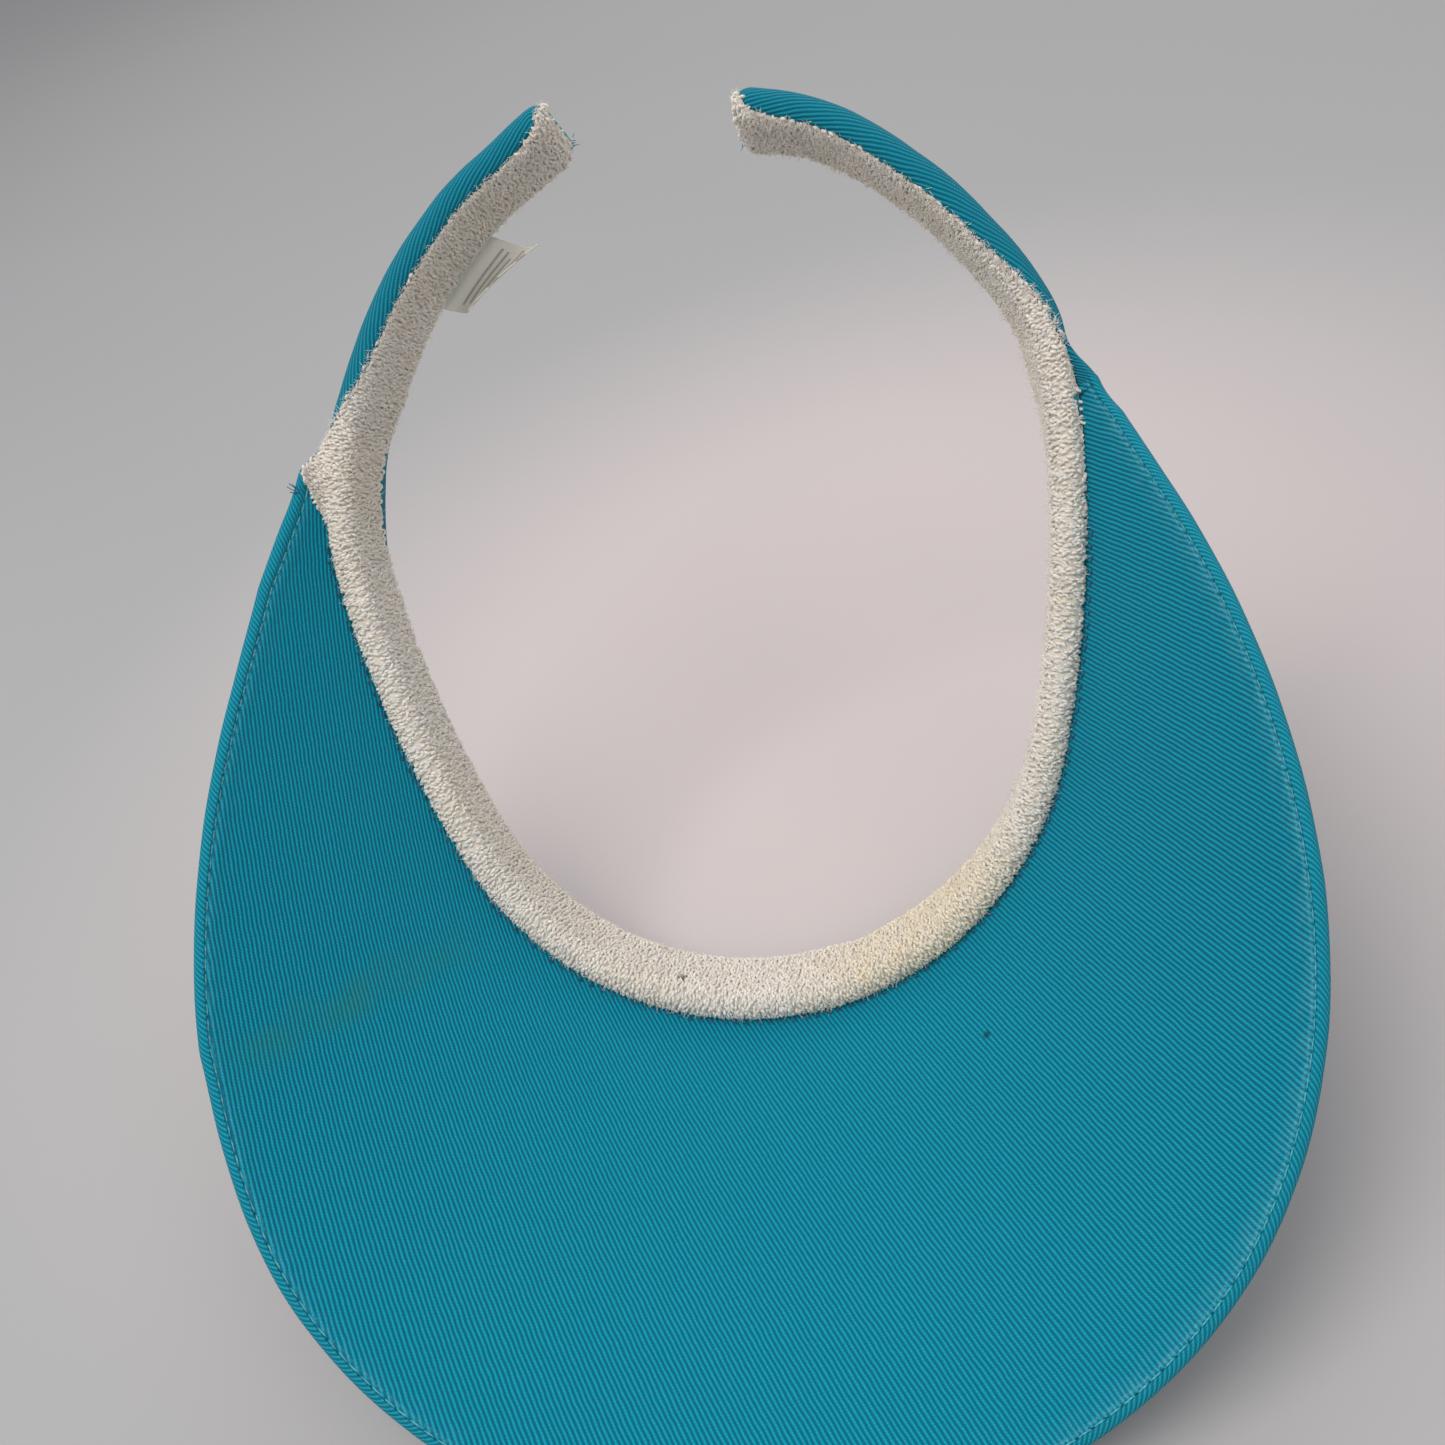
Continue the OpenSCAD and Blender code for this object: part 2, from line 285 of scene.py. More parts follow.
class Graph:
    def __init__(self, name):
        self.material = bpy.data.materials.new(name)
        self.material.use_nodes = True
        self.tree = self.material.node_tree
        self.tree.nodes.clear()
        self.out = self.tree.nodes.new("ShaderNodeOutputMaterial")
        self.shader = self.tree.nodes.new("ShaderNodeBsdfPrincipled")
        self.tree.links.new(self.shader.outputs[0], self.out.inputs["Surface"])

    def node(self, kind, inputs=(), **settings):
        n = self.tree.nodes.new(kind)
        for key, value in settings.items():
            setattr(n, key, value)
        for key, value in dict(inputs).items():
            self.put(n.inputs[key], value)
        return n

    def put(self, socket, value):
        if isinstance(value, bpy.types.NodeSocket):
            self.tree.links.new(value, socket)
        else:
            socket.default_value = value

    def maths(self, operation, *values, clamp=False):
        n = self.tree.nodes.new("ShaderNodeMath")
        n.operation, n.use_clamp = operation, clamp
        for i, v in enumerate(values):
            self.put(n.inputs[i], v)
        return n.outputs[0]

    mul = partialmethod(maths, "MULTIPLY")
    add = partialmethod(maths, "ADD")
    sub = partialmethod(maths, "SUBTRACT")
    div = partialmethod(maths, "DIVIDE")
    fma = partialmethod(maths, "MULTIPLY_ADD")
    sine = partialmethod(maths, "SINE")
    absolute = partialmethod(maths, "ABSOLUTE")

    def mix(self, factor, a, b, mode="MIX"):
        n = self.tree.nodes.new("ShaderNodeMix")
        n.data_type, n.blend_type = "RGBA", mode
        for i, v in zip((0, 6, 7), (factor, a, b)):
            self.put(n.inputs[i], v if isinstance(v, (bpy.types.NodeSocket, float, int)) else (*v, 1)[:4])
        return n.outputs[2]

    def ramp(self, value, low, high, to_low=0.0, to_high=1.0):
        n = self.node("ShaderNodeMapRange", {"Value": value, "From Min": low, "From Max": high,
                                             "To Min": to_low, "To Max": to_high}, interpolation_type="SMOOTHSTEP")
        return n.outputs[0]

    def noise(self, vector, scale, detail=2.0, rough=0.5):
        n = self.node("ShaderNodeTexNoise", {"Scale": scale, "Detail": detail, "Roughness": rough})
        if vector is not None:
            self.put(n.inputs["Vector"], vector)
        return n.outputs[0]

    def attribute(self, name):
        n = self.node("ShaderNodeAttribute", attribute_name=name)
        s = self.node("ShaderNodeSeparateXYZ", {"Vector": n.outputs["Vector"]})
        return n.outputs["Vector"], s.outputs

    def bump(self, height, distance, strength=1.0, after=None):
        n = self.node("ShaderNodeBump", {"Height": height, "Distance": distance, "Strength": strength})
        if after is not None:
            self.put(n.inputs["Normal"], after)
        return n.outputs[0]

    def finish(self, colour, normal, roughness, **uniform):
        self.put(self.shader.inputs["Base Color"], colour)
        if normal is not None:
            self.put(self.shader.inputs["Normal"], normal)
        self.put(self.shader.inputs["Roughness"], roughness)
        for key, value in uniform.items():
            self.shader.inputs[key.replace("_", " ")].default_value = value
        return self.material


def twill(name, angle, pitch=0.85, light=(0.005, 0.325, 0.44), dark=(0.0, 0.13, 0.20), worn=None):
    """Diagonal cotton twill: ridges every pitch millimetres at an angle of the flat pattern, each of short floats."""
    g = Graph(name)
    flat, (x, y, _) = g.attribute("flat")
    _, (turn, rim, _) = g.attribute("place")
    c, s = math.cos(angle), math.sin(angle)
    wander = g.sub(g.noise(flat, 0.22, 2.0), 0.5)
    a = g.div(g.add(g.mul(x, c), g.mul(y, s)), pitch)
    a = g.add(a, g.mul(wander, 0.55))
    b = g.div(g.add(g.mul(x, -s), g.mul(y, c)), 0.60)
    b = g.add(b, g.mul(a, 0.5))
    ridge = g.fma(g.sine(g.mul(a, 2 * math.pi)), 0.5, 0.5)
    float_ = g.fma(g.sine(g.mul(b, 2 * math.pi)), 0.5, 0.5)
    fibre = g.noise(flat, 3.2, 3.0, 0.65)
    patchy = g.noise(flat, 0.9, 2.0)
    height = g.mul(ridge, g.fma(float_, 0.30, 0.70))
    height = g.add(height, g.mul(fibre, 0.16))
    lit = g.mul(g.ramp(ridge, 0.12, 0.88), g.fma(float_, 0.32, 0.68))
    lit = g.mul(lit, g.fma(patchy, 0.5, 0.75), clamp=True)
    lit = g.add(lit, g.mul(g.sub(fibre, 0.5), 0.30), clamp=True)
    colour = g.mix(lit, dark, light)
    broad = g.noise(flat, 0.035, 3.0, 0.6)
    colour = g.mix(g.ramp(broad, 0.35, 0.65, 0.0, 0.28), colour, g.mix(1.0, colour, (1.5, 1.06, 1.03), "MULTIPLY"))
    if worn:
        colour = worn(g, colour, flat, turn, rim, ridge)
    speck = g.ramp(g.noise(flat, 2.1, 1.0), 0.78, 0.82)
    colour = g.mix(g.mul(speck, 0.35), colour, (0.30, 0.55, 0.58))
    normal = g.bump(height, 0.00030, 0.85)
    return g.finish(colour, normal, 0.88, Sheen_Weight=0.10, Sheen_Roughness=0.45, Sheen_Tint=(0.45, 0.85, 1.0, 1.0),
                    Specular_IOR_Level=0.12)


def bill_wear(g, colour, flat, turn, rim, ridge):
    """Pale rubbed cloth along the right edge, and a dull greenish stain across the left of the bill."""
    near = g.ramp(rim, 1.2, 5.5, 1.0, 0.0)
    right = g.ramp(turn, 8.0, 45.0, 0.30, 1.0)
    rub = g.mul(g.mul(near, right), g.ramp(g.noise(flat, 0.35, 4.0, 0.7), 0.3, 0.75))
    rub = g.mul(rub, g.fma(ridge, 0.7, 0.3))
    colour = g.mix(g.mul(rub, 0.40, clamp=True), colour, (0.10, 0.40, 0.46))
    line = g.mul(g.ramp(g.absolute(g.sub(rim, 0.9)), 0.05, 0.45, 1.0, 0.0),
                 g.ramp(g.noise(flat, 1.6, 3.0, 0.75), 0.40, 0.66))
    line = g.mul(line, g.ramp(turn, -75.0, 35.0, 0.12, 0.30))
    colour = g.mix(line, colour, (0.26, 0.50, 0.54))
    from_ = g.node("ShaderNodeVectorMath", {0: flat, 1: (143.0, -88.0, 0.0)}, operation="SUBTRACT").outputs[0]
    sx = g.node("ShaderNodeSeparateXYZ", {"Vector": from_}).outputs
    along = g.add(g.mul(sx[0], 0.72), g.mul(sx[1], -0.69))
    across = g.add(g.mul(sx[0], 0.69), g.mul(sx[1], 0.72))
    across = g.add(across, g.mul(g.sub(g.noise(flat, 0.10, 2.0), 0.5), 9.0))
    patch = g.ramp(g.noise(flat, 0.07, 2.0), 0.35, 0.62, 0.35, 1.0)
    blot = g.mul(g.ramp(g.absolute(across), 0.5, 6.5, 1.0, 0.0),
                 g.ramp(g.absolute(along), 14.0, 32.0, 1.0, 0.0))
    colour = g.mix(g.mul(g.mul(blot, patch), 0.5), colour, (0.02, 0.19, 0.16))
    spot = g.node("ShaderNodeVectorMath", {0: flat, 1: (151.4, 39.8, 0.0)}, operation="DISTANCE").outputs["Value"]
    spot = g.ramp(spot, 0.3, 1.1, 0.75, 0.0)
    return g.mix(spot, colour, (0.005, 0.03, 0.05))


def towelling(name, ground=False):
    g = Graph(name)
    place, (turn, across, shade) = g.attribute("place")
    coord = g.node("ShaderNodeTexCoord").outputs["Object"]
    broad = g.noise(coord, 55.0, 3.0, 0.6)
    fine = g.noise(coord, 1400.0, 3.0, 0.7)
    mid = g.noise(coord, 320.0, 2.0)
    base = g.mix(shade, (0.77, 0.69, 0.60), (0.86, 0.785, 0.70))
    if ground:
        # painted shade: the ground cloth under and between the loops is painted darker than the loops themselves
        base = g.mix(0.5, base, (0.70, 0.62, 0.52))
    base = g.mix(g.ramp(broad, 0.35, 0.7, 0.0, 0.45), base, g.mix(1.0, base, (0.97, 0.93, 0.84), "MULTIPLY"))
    yellow = g.mul(g.ramp(g.absolute(g.sub(turn, 30.0)), 6.0, 34.0, 1.0, 0.0),
                   g.ramp(mid, 0.25, 0.7, 0.5, 1.0))
    base = g.mix(g.mul(yellow, 0.85), base, g.mix(1.0, base, (1.0, 0.94, 0.78), "MULTIPLY"))
    shaded = g.mix(1.0, base, (0.82, 0.80, 0.76), "MULTIPLY")
    colour = g.mix(g.mul(g.sub(fine, 0.3), 0.5, clamp=True), base, shaded)
    fleck = g.node("ShaderNodeVectorMath", {0: place, 1: (-21.0, 12.4, 0.0)}, operation="SUBTRACT").outputs[0]
    fs = g.node("ShaderNodeSeparateXYZ", {"Vector": fleck}).outputs
    dist = g.add(g.mul(g.mul(fs[0], fs[0]), 1.4), g.mul(fs[1], fs[1]))
    colour = g.mix(g.ramp(dist, 0.3, 1.1, 0.9, 0.0), colour, (0.02, 0.035, 0.01))
    normal = g.bump(fine, 0.00012, 0.7)
    if ground:
        rows = g.sine(g.mul(turn, 2 * math.pi / 0.85))
        normal = g.bump(g.add(g.mul(rows, 0.3), mid), 0.0006, 0.9, normal)
    return g.finish(colour, normal, 0.95, Sheen_Weight=0.25, Sheen_Roughness=0.5,
                    Sheen_Tint=(1.0, 0.95, 0.86, 1.0), Specular_IOR_Level=0.08,
                    Subsurface_Weight=0.35, Subsurface_Radius=(1.0, 0.8, 0.6), Subsurface_Scale=0.0012)


def thread(name, light, dark):
    g = Graph(name)
    coord = g.node("ShaderNodeTexCoord").outputs["Object"]
    w = g.node("ShaderNodeTexWave", {"Vector": coord, "Scale": 420.0, "Distortion": 3.0, "Detail": 2.0,
                                     "Detail Scale": 1.5}, bands_direction="DIAGONAL").outputs[1]
    soft = g.noise(coord, 260.0, 2.0)
    colour = g.mix(g.fma(w, 0.6, g.mul(soft, 0.4), clamp=True), dark, light)
    return g.finish(colour, g.bump(w, 0.00008, 0.8), 0.72, Sheen_Weight=0.2, Specular_IOR_Level=0.3)


def satin(name):
    g = Graph(name)
    flat, (x, y, _) = g.attribute("flat")
    yarn = g.sine(g.mul(y, 2 * math.pi / 0.22))
    cross = g.sine(g.mul(x, 2 * math.pi / 0.30))
    fuzz = g.noise(flat, 2.5, 3.0, 0.6)
    colour = g.mix(g.fma(fuzz, 0.5, 0.2, clamp=True), (0.86, 0.80, 0.68), (0.92, 0.88, 0.79))
    row = g.maths("FRACT", g.div(x, 1.75))
    bar = g.mul(g.ramp(row, 0.30, 0.36), g.ramp(row, 0.68, 0.74, 1.0, 0.0))
    uneven = g.sine(g.mul(g.maths("FLOOR", g.div(x, 1.75)), 2.3))
    ends = g.add(7.2, g.mul(uneven, 1.5))
    bar = g.mul(bar, g.ramp(g.absolute(y), g.sub(ends, 0.15), ends, 1.0, 0.0))
    bar = g.mul(bar, g.mul(g.ramp(x, 5.4, 5.6), g.ramp(x, 15.4, 15.6, 1.0, 0.0)))
    colour = g.mix(g.mul(bar, g.ramp(fuzz, 0.3, 0.7, 0.45, 0.7)), colour, (0.16, 0.145, 0.13))
    spot = g.node("ShaderNodeVectorMath", {0: flat, 1: (13.0, 8.8, 0.0)}, operation="DISTANCE").outputs["Value"]
    spot = g.ramp(g.add(spot, g.mul(fuzz, 0.8)), 0.9, 2.3, 0.8, 0.0)
    colour = g.mix(spot, colour, (0.42, 0.27, 0.07))
    normal = g.bump(g.add(yarn, g.mul(cross, 0.4)), 0.00005, 0.5)
    return g.finish(colour, normal, 0.42, Sheen_Weight=0.15, Specular_IOR_Level=0.45)


def plain_core(name, light, dark, scale, roughness):
    g = Graph(name)
    coord = g.node("ShaderNodeTexCoord").outputs["Object"]
    broad, fine = g.noise(coord, scale, 4.0, 0.6), g.noise(coord, scale * 14, 3.0, 0.7)
    colour = g.mix(broad, dark, light)
    return g.finish(colour, g.bump(fine, 0.0001, 0.6), g.fma(fine, 0.2, roughness - 0.1),
                    Specular_IOR_Level=0.35)


TWILL_TURN = -1.064
bill_twill = twill("bill_twill", TWILL_TURN, worn=bill_wear)
top_twill = twill("top_twill", 1.0)
edge_twill = twill("binding_twill", 0.70, pitch=0.78, light=(0.012, 0.33, 0.43), dark=(0.0, 0.15, 0.22))
band_twill = twill("band_twill", 1.25, pitch=0.8, light=(0.012, 0.26, 0.345), dark=(0.0, 0.12, 0.18))
loop_terry = towelling("terry_loops")
ground_terry = towelling("terry_ground", True)
teal_thread = thread("teal_thread", (0.13, 0.44, 0.50), (0.03, 0.27, 0.35))
navy_thread = thread("navy_thread", (0.02, 0.13, 0.24), (0.004, 0.03, 0.07))
label_satin = satin("label_satin")
board_plastic = plain_core("bill_board_plastic", (0.80, 0.80, 0.78), (0.70, 0.70, 0.68), 60.0, 0.55)
strip_plastic = plain_core("spring_strip_plastic", (0.62, 0.63, 0.65), (0.48, 0.49, 0.51), 90.0, 0.4)

# ---------------------------------------------------------------- bill

# Developed pattern of the cone: distance from its tip, and the angle unrolled from the front line.
fine_w = np.linspace(-110, 110, 4401)
step = np.linalg.norm(np.diff(grain(fine_w), axis=0), axis=1)
unrolled = np.concatenate([[0], np.cumsum(step)])
unrolled -= np.interp(0, fine_w, unrolled)


CHUNK = 2000


def pattern(w, l):
    """Points of the bill laid flat."""
    s = np.linalg.norm(lift_z(seat(w), np.full(np.shape(w), float(CONE))), axis=-1) + l
    a = np.interp(w, fine_w, unrolled)
    return np.stack([s * np.cos(a), s * np.sin(a), np.zeros(np.shape(a))], -1)


def visible(w):
    """Width of the binding that shows on the under side, from the outermost line to its stitches."""
    a = np.abs(w)
    left = np.interp(a, [0, 25, 50, 75, 90, 98], [0.55, 0.6, 0.8, 1.2, 2.0, 2.2])
    right = np.interp(a, [0, 25, 50, 75, 90], [0.55, 0.55, 0.6, 0.8, 1.0])
    return np.where(w < 0, left, right)


def bound(w):
    """The binding's width on the under side, narrower where the bill tapers out."""
    return np.minimum(visible(w), 0.62 * reach_seen(w))


def hemmed(w):
    """The binding's width on the top side."""
    return np.minimum(8, 0.7 * reach_seen(w))


def to_edge(w, l):
    """Distance in the pattern from a point of the bill to its edge line."""
    ws = np.linspace(-END_L - 0.5, END_R + 0.5, 1600)
    line = pattern(ws, reach_seen(ws))[:, :2]
    p = pattern(w, l)[..., :2].reshape(-1, 2)
    out = np.empty(len(p))
    for i in range(0, len(p), CHUNK):
        out[i:i + CHUNK] = np.sqrt(((p[i:i + CHUNK, None] - line[None]) ** 2).sum(-1)).min(1)
    return out.reshape(np.shape(w))


def wave_noise(x, y, seed, scale):
    """Smooth low bumps from a few sines."""
    r = np.random.default_rng(seed)
    total = 0
    for _ in range(7):
        f, a, p = r.uniform(0.5, 1.6) / scale, r.uniform(0, np.pi), r.uniform(0, 6.28)
        total = total + np.sin(2 * np.pi * f * (x * np.cos(a) + y * np.sin(a)) + p)
    return total / 7


wb = np.concatenate([np.linspace(-END_L, -60, 130), np.linspace(-60, 60, 240)[1:-1], np.linspace(60, END_R, 110)])
across = np.concatenate([np.linspace(0, 0.9, 70), np.linspace(0.9, 1, 22)[1:]])
W, A = np.meshgrid(wb, across, indexing="ij")
far = reach_seen(W) - np.minimum(0.9, 0.4 * reach_seen(W))
near = np.full(W.shape, -0.9)
L = near + (far - near) * A
rim = to_edge(W, L)
flat = pattern(W, L)
seen = visible(W)
groove = np.exp(-((rim - seen) / 0.55) ** 2)
swell = 0.16 * wave_noise(flat[..., 0], flat[..., 1], 3, 55) + 0.05 * wave_noise(flat[..., 0], flat[..., 1], 4, 14)
depth = -swell * ease(rim, 1, 8) * ease(L, 0, 5) + 0.38 * groove - 0.12 * np.exp(-((rim - seen - 1.7) / 0.9) ** 2)
depth = np.where(rim < seen, np.maximum(depth, 0.25 + 0.3 * ease(seen - rim, 0, 0.8)), depth)
place = np.stack([W, rim - seen, np.sign(W)], -1)
under = cloth("under_cover_cloth", bill(W, L, depth), bill_twill, flat, place)
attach(under, "bill")
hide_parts("bill_under_cover", "bill_foam")

short_of_rim = np.minimum(2.0, 0.5 * reach_seen(W))
L2 = -0.4 + (reach_seen(W) - short_of_rim + 0.4) * A
flat2 = pattern(W, L2)
rise = 0.22 * wave_noise(flat2[..., 0], flat2[..., 1], 5, 50) * ease(to_edge(W, L2), 3, 12)
place2 = np.stack([W, rim * 0 + 30, np.sign(W)], -1)
top = cloth("top_cover_cloth", bill(W, L2, BACK + rise), top_twill, flat2 * [1, -1, 1], place2)
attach(top, "bill")
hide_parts("bill_top_cover")


def cut_area(w0, w1, low, high):
    """Area of the flat cloth between two reaches, in square millimetres."""
    w = np.linspace(w0, w1, 900)
    s = np.linalg.norm(lift_z(seat(w), np.full(w.shape, float(CONE))), axis=-1)
    a = np.interp(w, fine_w, unrolled)
    mid = (a[1:] - a[:-1]) / 2
    f = ((s + high(w)) ** 2 - (s + low(w)) ** 2)
    return float(((f[1:] + f[:-1]) / 2 * mid).sum())


def flat_size(points):
    """Width and length over all of a flat pattern, in metres."""
    p = points.reshape(-1, 3)
    return float(np.ptp(p[:, 1])) / 1000, float(np.ptp(p[:, 0])) / 1000


area = cut_area(-END_L, END_R, lambda w: 0 * w, reach_seen) / 1e6
wide, long = flat_size(pattern(W, np.clip(L, 0, None)))

# Stiffening board: the plastic sheet between foam and top cover, cut to the cloth's outline.
wd = np.concatenate([np.linspace(-96, -60, 60), np.linspace(-60, 60, 120)[1:-1], np.linspace(60, 84, 50)])
ROWS = 30
ring_t = np.linspace(0, 1, ROWS)
r_ = reach_seen(wd) - 1.6
low_d, high_d = CLOTH + FOAM + 2 * SLIP, CLOTH + FOAM + BOARD + 2 * SLIP
mid_d, half_d = (low_d + high_d) / 2, BOARD / 2
arc_a = np.linspace(-90, 90, 7) * D
l_cols = [0.3 + (r_ - 0.3) * t for t in ring_t] + [r_ + half_d * np.cos(a) for a in arc_a]
l_cols += l_cols[:len(ring_t)][::-1]
d_cols = [low_d] * ROWS + [mid_d + half_d * math.sin(a) for a in arc_a] + [high_d] * ROWS
WD = np.broadcast_to(wd[:, None], (len(wd), len(l_cols)))
k = np.arange(WD.size).reshape(WD.shape)
nxt = np.roll(k, -1, 1)
faces = np.stack([k[:-1], k[1:], nxt[1:], nxt[:-1]], -1).reshape(-1, 4)
board_points = bill(WD, np.array(l_cols).T, np.broadcast_to(d_cols, WD.shape))
stiff = made("bill_board_sheet", world(board_points.reshape(-1, 3)), [*faces, k[0][::-1], k[-1]], board_plastic)
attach(stiff, "bill")
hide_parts("bill_board")

# Edge binding: one strip folded round the edge, a little full between its stitches.
we = np.concatenate([np.linspace(-END_L - 0.1, -84, 90), np.linspace(-84, 76, 400)[1:-1],
                     np.linspace(76, END_R + 0.1, 90)])
hem = hemmed(we)
seen_e = bound(we)
run = np.concatenate([[0], np.cumsum(np.linalg.norm(np.diff(edge(we), axis=0), axis=1))])
INSIDE = 1.2  # middle of the rounded fold, from the outermost line
rows = []
for i, w in enumerate(we):
    h, v = hem[i], seen_e[i]
    full = 1.0 + 0.05 * math.sin(run[i] * 0.9) + 0.04 * math.sin(run[i] * 2.3 + 1)
    er = ROUND_SEEN * (0.985 + 0.015 * math.sin(run[i] * 0.35)) * (0.97 + 0.03 * full)
    b = [-v - 0.45, -v - 0.16, -v + 0.05]
    d = [0.80, 0.50, 0.20]
    first = -90 if v > 1.25 else -math.degrees(math.acos(min(1, (1.45 - v) / er)))
    flat_er = er * float(thin(w, reach_seen(w)))
    tb, td = -INSIDE + flat_er * math.cos(first * D), BACK / 2 + er * math.sin(first * D)
    for t in (0.3, 0.55, 0.8):
        b.append(b[2] + (tb - b[2]) * t)
        d.append(0.20 + (td - 0.20) * math.sin(t * math.pi / 2) ** 0.8)
    for a in np.linspace(first, 90, 18):
        b.append(-INSIDE + flat_er * math.cos(a * D))
        d.append(BACK / 2 + er * math.sin(a * D))
    for t in (0.35, 0.7):
        b.append(-INSIDE - (h - INSIDE) * t)
        d.append(BACK + 0.28 + 0.16 * math.sin(t * 3))
    b += [-h + 1.6, -h + 1.2, -h + 0.8, -h + 0.2, -h]
    d += [BACK + 0.42, BACK + 0.16, BACK + 0.42, BACK + 0.40, BACK - 0.25]
    rows.append(np.stack([b, d], -1))
rows = np.array(rows)
WE = np.broadcast_to(we[:, None], rows.shape[:2])
grid = edge_point(WE, rows[..., 0], rows[..., 1])
over = np.concatenate([np.zeros((len(we), 1)), np.cumsum(np.linalg.norm(np.diff(rows, axis=1), axis=2), axis=1)], 1)
flat_e = np.stack([np.broadcast_to(run[:, None], over.shape), over, over * 0], -1)
binding = cloth("edge_binding_cloth", grid, edge_twill, flat_e, np.stack([WE, over, over * 0], -1))
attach(binding, "bill")
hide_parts("bill_edge_binding")


def stitches(name, centre, along, up, length, radius, material, body, sink=0.12):
    """A row of stitches: each a short capsule bowed down into the cloth at its ends."""
    t = np.array([-0.5, -0.42, -0.2, 0.0, 0.2, 0.42, 0.5])
    drop = np.array([1.0, 0.45, 0.06, 0.0, 0.06, 0.45, 1.0])
    thin = np.array([0.35, 0.85, 1.0, 1.0, 1.0, 0.85, 0.35])
    n = len(centre)
    size = length * (1 + 0.06 * rng.standard_normal(n))
    skew = 0.05 * rng.standard_normal(n)
    side = np.cross(along, up)
    paths = centre[:, None] + along[:, None] * (size[:, None] * t)[..., None]
    paths = paths - up[:, None] * (drop * (radius + sink))[None, :, None]
    paths = paths + side[:, None] * (skew[:, None] * t * length)[..., None]
    piece = tubes(name, paths, np.broadcast_to(radius * thin, (n, 7)).copy(), up, material, sides=6)
    if body:
        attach(piece, body)
    return piece


def along_edge(pitch, shift):
    """Positions at an even pitch along the bill's edge."""
    w = np.linspace(-END_L + 1.5, END_R - 4, 4000)
    s = np.concatenate([[0], np.cumsum(np.linalg.norm(np.diff(edge(w), axis=0), axis=1))])
    return np.interp(np.arange(shift, s[-1], pitch), s, w)


BINDING_PITCH, SEAM_PITCH = 2.75, 2.4
ws = along_edge(BINDING_PITCH, 0.8)
t, off = edge_frame(ws)
low = edge_point(ws, -bound(ws) - 0.22, 0.22)
high = edge_point(ws, -hemmed(ws) + 1.2, BACK + 0.26)
centres = np.concatenate([low, high])
ups = np.concatenate([-skin(ws), skin(ws)])
rows_thread = stitches("binding_thread", centres, np.concatenate([t, t]), ups, 2.35, 0.2, teal_thread, "bill")
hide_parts("binding_stitches")

# ---------------------------------------------------------------- band

TIP_L, TIP_R = 171.0, 161.8
SEEN_L = ([0, 98, 103, 108, 113, 119, 128, 142, 165, 168.5, 170, 171],
          [0, 0, 6, 30, 76, 118, 140, 147, 146, 128, 80, 15])
SEEN_R = ([0, 79, 84, 90, 96, 101, 107, 114, 124, 140, 155, 159, 160.6, 161.8],
          [0, 0, 20, 32, 44, 66, 94, 118, 134, 143, 140, 122, 76, 15])


def wrap(w):
    """Angle round the roll, from the outer face over the bill side, where the twill gives way to the towelling."""
    return np.where(w < 0, np.interp(-w, *SEEN_L), np.interp(w, *SEEN_R))


def cap(w):
    """Taper of thickness and height into the arm's rounded end."""
    tip = np.where(w < 0, TIP_L, TIP_R)
    t = np.clip((np.abs(w) - (tip - 2.9)) / 2.9, 0, 1)
    return np.sqrt(np.clip(1 - t ** 2, 0, 1)), t


def spread(w):
    """How far each arm stands out from the even oval, in millimetres."""
    a = np.abs(w)
    left = smooth([60, 102, 107, 112, 117, 122, 128, 134, 140, 146, 151, 156, 160, 165, 171],
                  [0, 0, -0.25, -0.8, -1.5, -1.75, -1.7, -1.35, -0.9, -0.4, 0.35, 0.85, 1.2, 2.5, 4.5], a)
    right = smooth([60, 96, 102, 107, 112, 118, 126, 132, 138, 145, 151, 162],
                   [0, 0.3, 0.8, 0.4, -0.2, -0.95, -1.15, -1.3, -1.0, -0.5, -0.45, -1.1], a)
    return np.where(w < 0, left, right)


def shaped(w, u, h):
    s, t = cap(w)
    mid = (CROWN + ROLL) / 2
    u = -FORK + (u + FORK) * (0.06 + 0.94 * s)
    h = mid + (h - mid) * (1 - 0.22 * (1 - s))
    return band(w, u + spread(w), h)


def gusset(w):
    """Weight of the bill's corner in the section of an arm: full at the corner, none past it."""
    a = np.abs(w)
    return np.where(a < corner(w) - 0.5, 0.0, 1 - ease(a, corner(w), run_out(w)))


def flare(w):
    """How far out along the bill the towelling reaches, and the weight of that shape in the section."""
    a, c = np.abs(w), corner(w)
    share = np.where(w < 0, 1.0, 0.0)
    l = reach_seen(w) * share * np.clip((a - c + 8.5) / 8.5, 0, 1) ** 1.6
    return l, np.where(a < c, ease(a, c - 9.5, c - 6), 1 - ease(a, c, run_out(w)))


def last_angle(w):
    """Angle round the roll at which the towelling ends: down beside the bill in front, on the roll along the arms."""
    a, c = np.abs(w), corner(w)
    return wrap(w) - 16 * (1 - np.where(w < 0, ease(a, c - 4, c + 1), ease(a, 74, 83)))


def arc(angle, radius, h):
    return -FORK + radius * np.cos(angle * D), h + radius * np.sin(angle * D)


def section_length(u, h):
    step = np.hypot(np.diff(u, axis=1), np.diff(h, axis=1))
    return np.concatenate([np.zeros((len(u), 1)), np.cumsum(step, axis=1)], 1)


def path_length(w):
    p = seat(w)
    return np.concatenate([[0], np.cumsum(np.linalg.norm(np.diff(p, axis=0), axis=1))])


